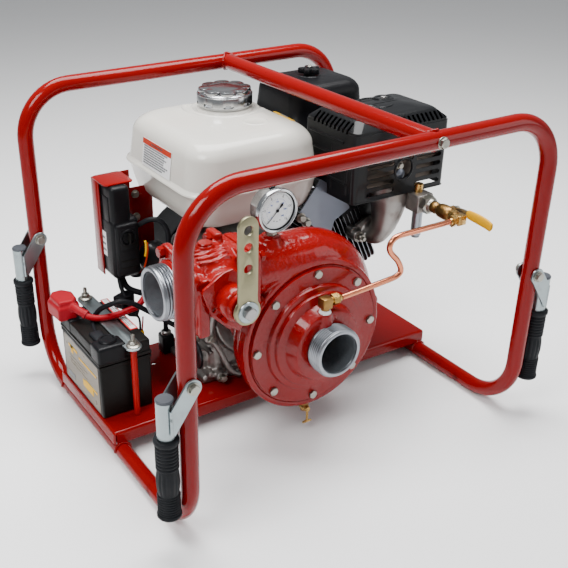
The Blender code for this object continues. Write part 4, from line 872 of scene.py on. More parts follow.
def start_control():
    """The moulded control box with its key, on the red bracket, and its loom."""
    lo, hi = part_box("control_box")
    low_y = lo.y + 0.007
    bits = [block((lo.x + 0.002, low_y, lo.z + 0.004), (hi.x - 0.012, hi.y, hi.z), BLACK, 0.0075, 4)]
    bits.append(block((lo.x, low_y - 0.001, lo.z), (hi.x, hi.y, lo.z + 0.102), BLACK, 0.008, 4))
    bits.append(block((lo.x + 0.004, lo.y, lo.z + 0.006), (hi.x - 0.003, lo.y + 0.014, lo.z + 0.096), BLACK,
                      0.0055, 4))
    bits.append(block((lo.x + 0.009, lo.y - 0.0008, lo.z + 0.05), (hi.x - 0.008, lo.y + 0.01, lo.z + 0.09),
                      BLACK, 0.003, 3))
    bits.append(lathe(mm((11.2, 0), (13.8, 0), (13.2, 2.4), (11.8, 3), (11.2, 2.2)),
                      (-0.199, lo.y - 0.0006, 0.29), -Y, BLACK, 36))
    for z in (lo.z + 0.02, lo.z + 0.032):
        bits.append(block((lo.x + 0.01, lo.y - 0.001, z), (hi.x - 0.01, lo.y + 0.004, z + 0.003), CASE,
                          0.0008, 2))
    bits.append(block((lo.x + 0.0008, low_y + 0.012, hi.z - 0.06),
                      (lo.x + 0.0035, hi.y - 0.01, hi.z - 0.018), BLACK, 0.001, 2))
    bits += label((lo.x - 0.0001, hi.y - 0.012, lo.z + 0.034), -Y, Z, (0.015, 0.042), PAPER,
                  text_rows(0.1, 0.7, 0.8, 3, 0.25, 0.09, PRINT, 4))
    piece("start_box", bits, replaces=("control_box",))
    key_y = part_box("key_switch")[0].y
    barrel = lathe(mm((0, 0), (10.4, 0), (10.4, 4.2), (9, 5.6), (3, 5.6), (3, 4), (0, 4)),
                   (-0.199, lo.y + 0.0035, 0.29), -Y, SHEET_BLACK, 36)
    bow = block((-0.2001, key_y, 0.282), (-0.1979, lo.y + 0.001, 0.298), CASE, 0.0009, 2)
    piece("start_key_switch", [barrel, bow], "start_key", ("key_switch",))
    back_lo, back_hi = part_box("control_bracket")
    z_top = back_hi.z
    outline = round_rect((hi.x + 0.001 - back_lo.x) / 2, (back_hi.y - low_y - 0.012) / 2, 0.008, 6)
    bits = [plate(outline, 0.0022, ((hi.x + 0.001 + back_lo.x) / 2, (back_hi.y + low_y + 0.012) / 2,
                                    z_top - 0.0011), Z, X, PAINT, bevel=0.0005)]
    bits.append(block((back_lo.x, back_hi.y - 0.0022, lo.z - 0.004), (-0.158, back_hi.y, z_top - 0.001),
                      PAINT, 0.0009, 2))
    bits.append(block((back_lo.x, hi.y - 0.014, lo.z - 0.004), (back_lo.x + 0.0022, back_hi.y,
                                                                z_top - 0.001), PAINT, 0.0009, 2))
    bits.append(block((-0.16, back_hi.y - 0.0022, 0.18), (-0.118, back_hi.y, 0.342), PAINT, 0.0009, 2))
    for z in (0.199, 0.29, 0.33):
        bits.append(bolt((-0.15, back_hi.y - 0.0022, z), -Y, 0.01, 0.0045, BOLT_ZINC, 0.007))
    piece("start_bracket", bits, replaces=("control_bracket",))
    looms = [([(-0.2, 0.142, lo.z + 0.004), (-0.201, 0.139, 0.205), (-0.196, 0.13, 0.192),
               (-0.18, 0.12, 0.184), (-0.158, 0.11, 0.178)], 0.0052, WIRE_BLACK),
             ([(-0.21, 0.135, lo.z + 0.003), (-0.212, 0.122, 0.2), (-0.208, 0.104, 0.176),
               (-0.2, 0.098, 0.164)], 0.0036, WIRE_BLACK), ([(-0.188, 0.15, lo.z + 0.003),
                                                             (-0.178, 0.146, 0.204), (-0.162, 0.132, 0.21),
                                                             (-0.148, 0.12, 0.222)], 0.0034, WIRE_BLACK),
             (mm((-176, 126, 300), (-160, 112, 312), (-146, 102, 310), (-138, 94, 294), (-140, 90, 272)),
              0.0042, WIRE_BLACK), (mm((-176, 98, 284), (-175, 98, 279), (-174.5, 100, 266),
                                       (-175, 103, 256)), 0.0018, YELLOW_PRINT),
             (mm((-172.5, 98, 280), (-172, 99, 268), (-173, 103, 250), (-175, 108, 234)), 0.0014, ORANGE),
             (mm((-191, 90, 156), (-193, 88, 146), (-194, 90, 130)), 0.0013, RED_CABLE),
             (mm((-216, 84, 182), (-206, 82, 168), (-198, 88, 150), (-196, 94, 120)), 0.002, WIRE_BLACK)]
    bits = [sweep(smooth(route, 7), radius, mat, 16) for route, radius, mat in looms]
    bits.append(block((-0.226, 0.106, 0.17), (-0.196, 0.128, 0.19), BLACK, 0.0025, 3, (Z, 24)))
    bits.append(block((-0.214, 0.092, 0.158), (-0.196, 0.108, 0.172), BLACK, 0.002, 3, (Y, 20)))
    bits.append(block((-0.1965, 0.0865, 0.122), (-0.1915, 0.0935, 0.131), YELLOW_PRINT, 0.001, 2))
    piece("wiring_loom", bits)


start_control()

# ---- Engine -------------------------------------------------------------------------------

TANK_TOP = 0.454
CAP_AT = (0.02, 0.18)
AXIS_X, AXIS_Z = -0.01, 0.176


def loft(levels, centre, half, mat, steps=12, sharp=40.0):
    """A solid through rounded rectangles: (height, inset, corner radius) from the bottom up."""
    verts = []
    for z, inset, corner in levels:
        verts += [(x, y, z) for x, y in round_rect(half[0] - inset, half[1] - inset, corner, steps, *centre)]
    rings = layers(steps * 4, len(levels))
    return add_bit(verts, [rings[0][::-1], rings[-1]] + skin(rings), mat, sharp)


def shoulder(z_low, z_high, inset_low, inset_high, corner_low, corner_high, steps=9):
    """Levels of a loft that round a wall over into a top."""
    levels = []
    for i in range(steps + 1):
        a = math.pi / 2 * i / steps
        turned = 1 - math.cos(a)
        levels.append((z_low + (z_high - z_low) * math.sin(a),
                       inset_low + (inset_high - inset_low) * turned,
                       corner_low + (corner_high - corner_low) * turned))
    return levels


def lobed(radius, steps):
    """An outline whose radius is worked out from its angle."""
    turns = [2 * math.pi * i / steps for i in range(steps)]
    return [(radius(angle) * math.cos(angle), radius(angle) * math.sin(angle)) for angle in turns]


def plan(lo, hi):
    """Middle and half size of a box, seen from above."""
    return ((lo.x + hi.x) / 2, (lo.y + hi.y) / 2), ((hi.x - lo.x) / 2, (hi.y - lo.y) / 2)


def panel(corners, thick, mat, sharp=25.0):
    """A flat or folded sheet: its corners in order, made solid along its own normal."""
    points = [Vector(c) for c in corners]
    normal = (points[1] - points[0]).cross(points[2] - points[0]).normalized()
    count = len(points)
    verts = [p - normal * thick / 2 for p in points] + [p + normal * thick / 2 for p in points]
    faces = [list(range(count))[::-1], list(range(count, 2 * count))]
    faces += [[i, (i + 1) % count, count + (i + 1) % count, count + i] for i in range(count)]
    return add_bit(verts, faces, mat, sharp)


def fuel_tank():
    """The tank: pressed shells with a rolled lip, the filler recess and its labels."""
    lo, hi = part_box("fuel_tank")
    centre, half = plan(lo, hi)
    levels = mm((317, 46, 30), (318.4, 34, 34), (322.5, 22.5, 36), (332, 15, 38), (352, 9.8, 40),
                (370, 6.5, 42), (373.8, 4.5, 44), (375.5, 0.8, 47), (377.8, -0.4, 48), (380, 0.6, 47),
                (381.8, 4, 44), (384.5, 6.2, 42), (420, 10, 44))
    levels += shoulder(0.423, TANK_TOP - 0.001, 0.0104, 0.04, 0.044, 0.04, 12)
    levels += [(TANK_TOP, 0.052, 0.034)]
    tank = loft(levels, centre, half, IVORY, 14, 60.0)
    recess = lathe(mm((0, -4), (64, -4), (68.5, -3.4), (71.5, -1.8), (73.5, 0.4), (76, 20), (0, 20)),
                   (*CAP_AT, TANK_TOP), Z, IVORY, 96)
    bits = [cut(tank, recess)]
    bits.append(lathe(mm((20, 0), (47.5, 0), (46, 2.6), (43, 4.2), (20, 4.2)), (*CAP_AT, TANK_TOP - 0.0042),
                      Z, IVORY, 72))
    bits.append(lathe(mm((51.5, -0.4), (53, 0.6), (54.8, 1), (56.6, 0.6), (58, -0.4)),
                      (*CAP_AT, TANK_TOP - 0.004), Z, IVORY, 72))
    bits.append(lathe(mm((0, 0.5), (16.5, 0.5), (18.5, 1), (20, 0.6), (21.2, -0.6), (0, -0.6)),
                      (0.013, 0.074, TANK_TOP), Z, IVORY, 48))
    side_x = lo.x + 0.0058
    rows = [(0.0, 0.8, 1.0, 0.2, ORANGE), (0.3, 0.865, 0.4, 0.07, PRINT)]
    rows += text_rows(0.05, 0.725, 0.88, 8, 0.088, 0.044, PRINT, 6)
    lean = Vector((0.0044, 0, 0.036)).normalized()
    bits += label((side_x - 0.0006, 0.171, 0.384), -Y, lean, (0.095, 0.044), PAPER, rows, lift=0.0006)
    strip_at, strip_to = Vector((0.072, 0.112, TANK_TOP - 0.003)), Vector((0.066, 0.052, TANK_TOP - 0.0018))
    run = strip_to - strip_at
    tilt = Vector((0.95, 0, -0.31))
    bits += label(strip_to, tilt, -run, (0.008, run.length), YELLOW_PRINT, [(0.35, 0.3, 0.3, 0.4, PRINT)],
                  lift=0.001)
    piece("tank_shells", bits, replaces=("fuel_tank",))
    fuel_cap()


def fuel_cap():
    """The chromed cap: a round skirt with oval windows under a lobed top."""
    at = (*CAP_AT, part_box("fuel_cap")[0].z)
    skirt = lathe(mm((0, 0), (40, 0), (44, 0.8), (44.8, 3), (46, 5), (46, 20.5), (44.8, 23.2), (41.5, 25.2),
                     (34, 25.8), (0, 25.8)), at, Z, CHROME, 96)
    windows = []
    for i in range(8):
        angle = 2 * math.pi * (i + 0.5) / 8
        out = Vector((math.cos(angle), math.sin(angle), 0))
        place = Vector(at) + out * 0.0455 + Z * 0.0078
        windows.append(plate(round_rect(0.0088, 0.0026, 0.0025, 5), 0.008, place, out, Z.cross(out), CHROME))
    skirt = cut(skirt, *windows)
    inner = lathe(mm((0, 1), (41.8, 1), (41.8, 15), (0, 15)), at, Z, TAPE, 64)
    outline = lobed(lambda angle: 0.0355 + 0.0082 * abs(math.sin(4 * angle)) ** 0.55, 160)
    star = plate(outline, 0.0085, Vector(at) + Z * 0.0268, Z, X, CHROME, bevel=0.0022)
    crown = lathe(mm((0, 32.2), (15, 32), (27, 31.2), (29, 30), (0, 30)), at, Z, CHROME, 72)
    groove = sweep(ring3(Vector(at) + Z * 0.0206, 0.0456, 96), 0.0007, CHROME, 8, closed=True)
    piece("filler_cap", [skirt, inner, star, crown, groove], "tank_cap", ("fuel_cap",))


def ring3(centre, radius, steps, axis=(0, 0, 1)):
    """Points round a circle in space."""
    side, other, _ = basis(axis)
    return [Vector(centre) + (side * math.cos(a) + other * math.sin(a)) * radius
            for a in (2 * math.pi * i / steps for i in range(steps))]


def air_cleaner():
    """Carburettor, the cleaner's base, its soft-cornered cover and the lobed knob."""
    lo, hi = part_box("carburettor")
    bits = [cast([block(lo, hi, CAST_ALU, 0.006), rod((lo.x + 0.012, lo.y - 0.006, lo.z + 0.03),
                                                      (lo.x + 0.012, hi.y, lo.z + 0.03), 0.014, CAST_ALU),
                  lathe(mm((0, 0), (17, 0), (17, 12), (14, 20), (0, 20)),
                        ((lo.x + hi.x) / 2, (lo.y + hi.y) / 2, lo.z - 0.018), Z, CAST_ALU, 32)], CAST_ALU,
                 0.0016)]
    bits.append(bolt(((lo.x + hi.x) / 2, (lo.y + hi.y) / 2, lo.z - 0.018), -Z, 0.01, 0.004))
    bits.append(sweep(smooth([(lo.x + 0.006, lo.y, lo.z + 0.05), (lo.x - 0.018, lo.y - 0.02, lo.z + 0.045),
                              (lo.x - 0.03, lo.y - 0.01, lo.z + 0.02)]), 0.0022, BOLT_ZINC, 12))
    piece("carburettor_body", bits, replaces=("carburettor",))
    lo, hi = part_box("air_cleaner_base")
    centre, half = plan(lo, hi)
    levels = [(lo.z, 0.006, 0.016), (lo.z + 0.003, 0.003, 0.018), (hi.z - 0.01, 0.0015, 0.018),
              (hi.z - 0.009, 0.0, 0.018), (hi.z, 0.0, 0.018)]
    bits = [loft(levels, centre, half, BLACK)]
    for i in range(4):
        y = lo.y + 0.03 + i * 0.026
        bits.append(block((lo.x - 0.0008, y, lo.z + 0.006), (lo.x + 0.004, y + 0.003, hi.z - 0.012), BLACK,
                          0.001, 2))
    piece("cleaner_tray", bits, replaces=("air_cleaner_base",))
    lo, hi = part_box("air_cleaner_cover")
    levels = [(lo.z, 0.0006, 0.02), (lo.z + 0.001, -0.0004, 0.021), (lo.z + 0.006, -0.0004, 0.021),
              (lo.z + 0.0072, 0.0012, 0.021), (lo.z + 0.03, 0.003, 0.022)]
    levels += shoulder(hi.z - 0.024, hi.z - 0.0018, 0.004, 0.026, 0.024, 0.018, 9)
    levels += [(hi.z - 0.0004, 0.04, 0.014), (hi.z, 0.056, 0.006)]
    bits = [loft(levels, centre, half, BLACK, 12, 60.0)]
    x, y = centre
    bits.append(lathe(mm((0, 0.2), (15, 0.2), (18.5, 1), (20.5, 0.6), (22, -1), (0, -1)), (x, y, hi.z), Z,
                      BLACK, 48))
    piece("cleaner_cover", bits, replaces=("air_cleaner_cover",))
    outline = lobed(lambda angle: 0.0158 + 0.0042 * math.cos(5 * angle), 100)
    at = Vector((x, y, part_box("air_cleaner_knob")[0].z))
    bits = [plate(outline, 0.01, at + Z * 0.0072, Z, X, BLACK, bevel=0.0028)]
    bits.append(lathe(mm((0, 0), (9.5, 0), (8.8, 4), (0, 4)), at, Z, BLACK, 28))
    bits.append(lathe(mm((0, 11.5), (6.2, 11.5), (5, 13.6), (0, 13.6)), at, Z, BLACK, 28))
    bits.append(hexagon(at + Z * 0.012, Z, 0.0075, 0.003, BOLT_ZINC))
    bits.append(rod(at + Z * 0.014, at + Z * 0.0172, 0.0022, BOLT_ZINC, 16, 0.0005))
    piece("cleaner_knob_star", bits, "cleaner_knob", ("air_cleaner_knob",))


def exhaust():
    """The muffler with its cast elbow inside the pressed, slotted guard."""
    lo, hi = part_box("muffler_guard")
    centre, half = plan(lo, hi)
    crown = hi.z + 0.004

    def walls(inset, top, foot):
        levels = [(foot, inset, 0.01), (lo.z + 0.109, inset, 0.01), (lo.z + 0.1095, inset + 0.0012, 0.01),
                  (lo.z + 0.113, inset + 0.0012, 0.01)]
        levels += [(lo.z + 0.126, inset + 0.015, 0.012), (lo.z + 0.1275, inset + 0.0175, 0.012)]
        levels += [(top - 0.0042, inset + 0.03, 0.014), (top - 0.0016, inset + 0.042, 0.014),
                   (top, inset + 0.058, 0.01)]
        return levels

    shell = loft(walls(0.0, crown, lo.z), centre, half, SHEET_BLACK, 7, 25.0)
    room = loft(walls(0.0018, crown - 0.0018, lo.z - 0.01), centre, half, SHEET_BLACK, 7, 25.0)
    tools = [room]
    middle = centre[0]
    for row in range(6):
        z = lo.z + 0.012 + row * 0.0145
        for shift, width in ((-0.0405, 0.027), (0.056, 0.0255)):
            tools.append(plate(round_rect(width, 0.0038, 0.0036, 5), 0.012, (middle + shift, lo.y, z), -Y, X,
                               SHEET_BLACK))
    hole_x, hole_z = middle + 0.005, lo.z + 0.043
    for x, z, radius in ((hole_x, hole_z, 0.016), (hole_x + 0.0135, hole_z + 0.018, 0.006)):
        tools.append(rod((x, lo.y - 0.008, z), (x, lo.y + 0.008, z), radius, SHEET_BLACK, 32))
    for i in range(9):
        y = lo.y + 0.022 + i * 0.0105
        tools.append(block((lo.x + 0.0005, y, lo.z + 0.104), (lo.x + 0.016, y + 0.0052, lo.z + 0.1235),
                           SHEET_BLACK, 0.001, 1, (Y, 45)))
    for i in range(10):
        x = middle + 0.004 + i * 0.0088
        tools.append(block((x, lo.y + 0.0005, lo.z + 0.1115), (x + 0.0048, lo.y + 0.0165, lo.z + 0.1235),
                           SHEET_BLACK, 0.001, 1, (X, 0)))
    bits = [cut(shell, *tools)]
    for z, y0, y1 in ((lo.z + 0.094, lo.y + 0.03, hi.y - 0.016), (lo.z + 0.07, lo.y + 0.018, hi.y - 0.012),
                      (lo.z + 0.03, lo.y + 0.018, hi.y - 0.012)):
        bits.append(sweep([(lo.x, y0, z), (lo.x, y1, z)], 0.0024, SHEET_BLACK, 12, flat=(X, 0.6)))
    for z0, y in ((lo.z + 0.012, lo.y + 0.02), (lo.z + 0.012, lo.y + 0.058)):
        bits.append(sweep([(lo.x, y, z0), (lo.x, y, lo.z + 0.084)], 0.002, SHEET_BLACK, 12, flat=(X, 0.5)))
    bits.append(sweep(ring3((hole_x, lo.y, hole_z), 0.0178, 48, Y), 0.0018, SHEET_BLACK, 10, closed=True))
    for x, y in ((0.17, -0.012), (0.224, 0.02)):
        bits.append(lathe(mm((7.5, -1), (9.5, 1), (13, 2.2), (16, 1.2), (17.5, -2), (8, -3)),
                          (x, y, crown - 0.001), Z, SHEET_BLACK, 40))
        bits.append(lathe(mm((0, -1.6), (7.8, -1.6), (7.8, -0.4), (0, -0.4)), (x, y, crown), Z, SHEET_BLACK,
                          28))
        bits.append(hexagon((x, y, crown - 0.0008), Z, 0.008, 0.003, STEEL))
    for start, turn, radius in ((0.5, 2.4, 0.03), (3.6, 1.8, 0.026)):
        route = [(x, y, crown - 0.0012) for x, y in ring2(0.196, 0.004, radius, 22, start, turn)]
        bits.append(sweep(route, 0.0026, SHEET_BLACK, 10, flat=(Z, 0.55)))
    bits.append(block((lo.x + 0.004, lo.y - 0.0006, lo.z + 0.0005),
                      (hi.x - 0.004, lo.y + 0.0012, lo.z + 0.003), SHEET_BLACK, 0.0006, 1))
    piece("heat_guard", bits, replaces=("muffler_guard",))
    lo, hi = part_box("muffler")
    body = block((lo.x, lo.y, 0.348), (hi.x, hi.y, hi.z), SOOTED, 0.014, 4)
    seam = block((lo.x - 0.003, lo.y - 0.003, 0.392), (hi.x + 0.003, hi.y + 0.003, 0.395), SOOTED, 0.0012, 2)
    route = smooth(mm((190, 10, 262), (190, -10, 258), (192, -27, 262), (196, -36, 280), (202, -36, 305),
                      (205, -34, 330), (206, -32, 352)), 6)
    radii = [0.0185 + 0.0125 * min(1.0, max(0.0, (p.z - 0.268) / 0.055)) for p in route]
    elbow = sweep(route, radii, HOT_STEEL, 40)
    stay = panel(mm((140, 4, 286), (166, 4, 252), (214, 4, 246), (226, 4, 335.5), (140, 4, 335.5)), 0.003,
                 SHEET_BLACK)
    flange = plate(mm((-34, -11), (0, -23), (34, -11), (37, 0), (34, 11), (0, 23), (-34, 11), (-37, 0)),
                   0.01, (0.191, -0.004, 0.262), -Y, (0.97, 0, 0.12), HOT_STEEL, bevel=0.002)
    lug = [rod((x, -0.02, z), (x, 0.004, z), 0.0105, HOT_STEEL, 24) for x,
           z in ((0.16, 0.259), (0.222, 0.266))]
    elbow = cast([elbow, flange, *lug], HOT_STEEL, 0.0018, 5)
    bits = [body, seam, elbow, stay]
    for x, z in ((0.16, 0.259), (0.222, 0.266)):
        bits.append(bolt((x, -0.0205, z), -Y, 0.0125, 0.0075, BOLT_ZINC, 0.0085))
        bits.append(rod((x, -0.028, z), (x, -0.035, z), 0.0036, BOLT_ZINC, 16, 0.0006))
    bits.append(bolt((hole_x - 0.001, lo.y - 0.0004, hole_z + 0.003), -Y, 0.0085, 0.004, BOLT_ZINC, 0.0062))
    bits.append(lathe(mm((0, 0), (9.2, 0), (8.8, 1.6), (6, 3), (0, 3.4)),
                      (hole_x + 0.001, lo.y - 0.0004, hole_z - 0.0115), -Y, SHROUD_GREY, 32))
    piece("muffler_and_elbow", bits, replaces=("muffler",))


TILT = math.radians(25.0)


def on_cylinder(distance, across, y):
    """A place along the tilted cylinder's axis, and across it."""
    c, s = math.cos(TILT), math.sin(TILT)
    return Vector((AXIS_X + distance * c - across * s, y, AXIS_Z + distance * s + across * c))


def cylinder():
    """The finned barrel and head, the valve cover, the spark plug and the folded shroud."""
    along = spoke(TILT)
    across = Vector((-math.sin(TILT), 0, math.cos(TILT)))
    bits = []
    core = rod(on_cylinder(0.102, 0, 0.06), on_cylinder(0.212, 0, 0.06), 0.04, FIN_BLACK, 40)
    bits.append(core)
    for i in range(14):
        head = i > 5
        at = on_cylinder(0.116 + i * 0.0078, -0.013 if head else -0.009, 0.0585)
        half = (0.065, 0.056) if head else (0.057, 0.0545)
        corner = 0.018 if head else 0.03
        bits.append(plate(round_rect(*half, corner, 8), 0.0026, at, along, across, FIN_BLACK, bevel=0.0006))
        bits.append(plate(round_rect(half[0] + 0.0006, half[1] + 0.0006, corner, 8), 0.001, at, along,
                          across, MACHINED))
    cover = block((-0.0125, -0.048, -0.046), (0.0125, 0.048, 0.04), FIN_BLACK, 0.009, 4, (Y, -25))
    cover.location = on_cylinder(0.23, -0.004, 0.0585)
    bits.append(cover)
    for u in (-0.03, 0.03):
        for y in (0.018, 0.098):
            bits.append(bolt(on_cylinder(0.2415, u, y), along, 0.009, 0.004))
    plug = on_cylinder(0.19, 0.01, 0.0)
    bits.append(sweep([plug + Y * 0.006, plug - Y * 0.01], 0.008, STEEL, 24))
    low = on_cylinder(0.15, -0.058, 0.012)
    bits.append(block(low - Vector((0.03, 0.008, 0.01)), low + Vector((0.02, 0.07, 0.006)), CAST_ALU, 0.004,
                      3, (Y, -25)))
    piece("finned_cylinder", bits, replaces=("cylinder_block",))
    sheets = []
    y0 = -0.0015
    sheets.append(panel([(0.05, y0, 0.318), (0.098, y0, 0.268), (0.112, y0, 0.262), (0.12, y0, 0.29),
                         (0.15, y0, 0.306), (0.128, y0, 0.34), (0.088, y0, 0.366)], 0.0022, SHROUD_GREY))
    sheets.append(panel([(0.15, y0, 0.3065), (0.128, y0, 0.3405), (0.128, 0.09, 0.3405),
                         (0.15, 0.09, 0.3065)], 0.0022, SHROUD_GREY))
    sheets.append(panel([(0.128, y0, 0.3405), (0.088, y0, 0.3665), (0.088, 0.09, 0.3665),
                         (0.128, 0.09, 0.3405)], 0.0022, SHROUD_GREY))
    for x, z in ((0.052, 0.31), (0.062, 0.3)):
        sheets.append(bolt((x, y0 - 0.002, z), -Y, 0.011, 0.006, BOLT_ZINC, 0.0085))
    piece("cylinder_shroud", sheets)


def crankcase():
    """The cast crankcase with ribs, bosses, side cap and foot, its small fittings and the starter."""
    lo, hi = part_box("crankcase")
    lo_x, front = -0.115, -0.004
    solids = [block((lo_x + 0.004, front + 0.012, 0.06), (0.085, 0.15, 0.268), CAST_ALU, 0.016, 3)]
    solids.append(block((lo.x, front + 0.01, lo.z), (hi.x, 0.14, lo.z + 0.014), CAST_ALU, 0.004, 2))
    solids.append(lathe(mm((0, 0), (100, 0), (100, 14), (0, 14)), (AXIS_X, front + 0.014, AXIS_Z), -Y,
                        CAST_ALU, 64))
    ribs = [([(-0.119, front, 0.141), (-0.104, front, 0.117), (-0.092, front, 0.09), (-0.08, front, 0.066),
              (-0.062, front, 0.052)], 0.0052), ([(-0.119, front, 0.141), (-0.114, front, 0.17),
                                                  (-0.104, front, 0.205), (-0.096, front, 0.24)], 0.006),
            ([(-0.119, front + 0.004, 0.141), (-0.116, front + 0.02, 0.141), (-0.112, front + 0.05, 0.143)],
             0.008), ([(-0.113, front + 0.006, 0.106), (-0.114, front + 0.06, 0.108),
                       (-0.112, front + 0.12, 0.11)], 0.0042), ([(-0.113, front + 0.006, 0.064),
                                                                 (-0.114, front + 0.06, 0.064),
                                                                 (-0.112, front + 0.12, 0.064)], 0.006),
            ([(0.062, front, 0.052), (0.074, front, 0.08), (0.088, front, 0.112), (0.094, front, 0.15)],
             0.0052)]
    solids += [sweep(smooth(route, 5), radius, CAST_ALU, 18) for route, radius in ribs]
    solids += [rod((x, front - 0.003, z), (x, front + 0.024, z), r, CAST_ALU, 28) for x, z,
               r in ((-0.119, 0.141, 0.0105), (-0.098, 0.06, 0.01), (0.094, 0.15, 0.01),
                     (-0.098, 0.24, 0.01))]
    solids.append(rod((-0.112, 0.048, 0.085), (-0.119, 0.048, 0.085), 0.0285, CAST_ALU, 48))
    solids.append(rod((-0.104, 0.094, 0.122), (-0.122, 0.094, 0.122), 0.013, CAST_ALU, 32))
    solids.append(block((-0.122, 0.012, 0.048), (-0.1, 0.04, 0.06), CAST_ALU, 0.003, 2))
    bits = [cast(solids, CAST_ALU, 0.0021, 3)]
    bits.append(lathe(mm((0, 0), (24.5, 0), (25, 1), (25, 3), (23.5, 4.2), (18, 5), (16.5, 3.6), (0, 3.6)),
                      (-0.1185, 0.048, 0.085), -X, MACHINED, 56))
    bits.append(sweep(ring3((-0.119, 0.048, 0.085), 0.0262, 64, X), 0.0016, WIRE_BLACK, 10, closed=True))
    for x, z in ((-0.119, 0.141), (-0.098, 0.06), (0.094, 0.15), (-0.098, 0.24)):
        bits.append(bolt((x, front - 0.003, z), -Y, 0.0115, 0.006, BOLT_ZINC, 0.008, turn=z))
    bits.append(bolt((-0.1222, 0.094, 0.122), -X, 0.015, 0.006, STEEL, 0.0095))
    piece("cast_crankcase", bits, replaces=("crankcase",))
    mount = [block((-0.139, 0.124, 0.0478), (-0.117, 0.148, 0.084), BLACK, 0.004, 3)]
    mount.append(lathe(mm((0, 0), (9, 0), (9, 4), (7, 6), (0, 6)), (-0.128, 0.136, 0.084), Z, STEEL, 28))
    mount.append(rod((-0.128, 0.136, 0.088), (-0.128, 0.136, 0.112), 0.0042, WIRE_BLACK, 20, 0.001))
    piece("oil_alert_unit", mount)
    stick = [lathe(mm((0, 0), (12, 0), (13, 3), (13, 10), (10.5, 13), (0, 13)), (-0.124, 0.094, 0.15), -X,
                   BLACK, 32, lambda a, r, h: r * (1 - 0.05 * (math.cos(9 * a) > 0.3)))]
    piece("oil_filler_plug", stick)
    lo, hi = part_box("starter_motor")
    x, z = -0.146, 0.236
    shell = lathe(mm((0, 38), (20, 38), (22.5, 40), (25.8, 45), (26.2, 48), (26.2, 60), (25.5, 61),
                     (25.5, 128), (26.2, 129), (26.2, 140), (21.5, 146.5), (17.5, 150), (0, 150)), (x, 0, z),
                  Y, SHEET_BLACK, 64)
    bits = [shell]
    for angle in (0.8, 3.9):
        side = spoke(angle, 0.0235)
        bits.append(rod(Vector((x, 0.04, z)) + side, Vector((x, 0.036, z)) + side, 0.0034, BOLT_ZINC, 16,
                        0.0006))
    bits.append(rod((-0.16, 0.095, 0.245), (-0.1665, 0.092, 0.228), 0.005, CASE, 20, 0.001))
    bits.append(hexagon((-0.166, 0.0922, 0.2295), (-0.4, -0.2, -0.9), 0.0095, 0.004, BRASS))
    piece("starter", bits, replaces=("starter_motor",))


def fan_and_recoil():
    """The blower housing, the recoil cover with its vents and the pull grip."""
    at = (AXIS_X, 0, AXIS_Z)
    lo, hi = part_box("blower_housing")
    shell = lathe([(0.118, lo.y), (0.1222, lo.y), (0.1222, lo.y + 0.006), (0.1212, lo.y + 0.0075),
                   (0.1212, hi.y - 0.014), (0.1195, hi.y - 0.007), (0.115, hi.y - 0.0018), (0.108, hi.y),
                   (0.06, hi.y), (0.06, hi.y - 0.0035), (0.108, hi.y - 0.0035), (0.118, hi.y - 0.012)], at,
                  Y, SHEET_BLACK, 96)
    bits = [shell]
    for i in range(6):
        angle = math.radians(20 + 60 * i)
        place = Vector(at) + spoke(angle, 0.1085) + Y * (hi.y - 0.0005)
        bits.append(bolt(place, Y, 0.0095, 0.0042, BOLT_ZINC, 0.007, turn=angle))
    piece("fan_housing", bits, replaces=("blower_housing",))
    lo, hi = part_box("recoil_cover")
    dome = lathe([(0.09, lo.y + 0.001), (0.0978, lo.y), (0.098, lo.y + 0.003), (0.0945, lo.y + 0.011),
                  (0.089, lo.y + 0.016), (0.056, hi.y - 0.002), (0.05, hi.y - 0.0004),
                  (0.024, hi.y - 0.0004), (0.02, hi.y - 0.003), (0, hi.y - 0.003), (0, hi.y - 0.0052),
                  (0.05, hi.y - 0.004), (0.086, lo.y + 0.015)], at, Y, SHEET_BLACK, 96)
    tools = []
    for i in range(20):
        angle = 2 * math.pi * i / 20
        out = spoke(angle)
        if (Vector(at) + out * 0.072 - Vector((0.045, 0, 0.222))).length < 0.022:
            continue
        tools.append(plate(round_rect(0.0095, 0.0032, 0.003, 4), 0.03, Vector(at) + out * 0.072 + Y * 0.252,
                           Y, out, SHEET_BLACK))
    bits = [cut(dome, *tools)]
    guide = lathe(mm((3.6, -2), (10, -2), (10, 18), (8, 20.5), (5, 20.5), (3.6, 19)), (0.045, 0.2405, 0.222),
                  Y, BLACK, 32)
    bits.append(guide)
    piece("recoil_starter_cover", bits, replaces=("recoil_cover",))
    lo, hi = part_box("recoil_handle")
    middle = (lo.x + hi.x) / 2
    bar_y, z = 0.2745, 0.222
    bar = [(lo.x + 0.0005 + i * (hi.x - lo.x - 0.001) / 24, bar_y, z) for i in range(25)]
    radii = [0.0082 - 0.0022 * abs((p[0] - middle) / (hi.x - middle)) ** 3 - (0.003 if i in (0, 24) else 0)
             for i, p in enumerate(bar)]
    bits = [sweep(bar, radii, BLACK, 28)]
    bits.append(lathe(mm((0, 0), (6, 0), (5, 6), (7, 10), (0, 10)), (middle, lo.y, z), Y, BLACK, 28))
    piece("recoil_pull_grip", bits, "recoil_grip", ("recoil_handle",))


fuel_tank()
air_cleaner()
exhaust()
cylinder()
crankcase()
fan_and_recoil()

# ---- Pump ---------------------------------------------------------------------------------

VOLUTE_Y = -0.092
CHANNEL_Z = 0.294
CHANNEL_R = 0.042
PORT_R = 0.0395
BORE_R = 0.032
HUB = Vector((AXIS_X, 0, AXIS_Z))


def front_ring(profile, mat, steps=96, at=HUB, sharp=40.0):
    """A turned piece on the pump's axis: (radius, distance forward of y = 0)."""
    return lathe(profile, at, -Y, mat, steps, sharp=sharp)


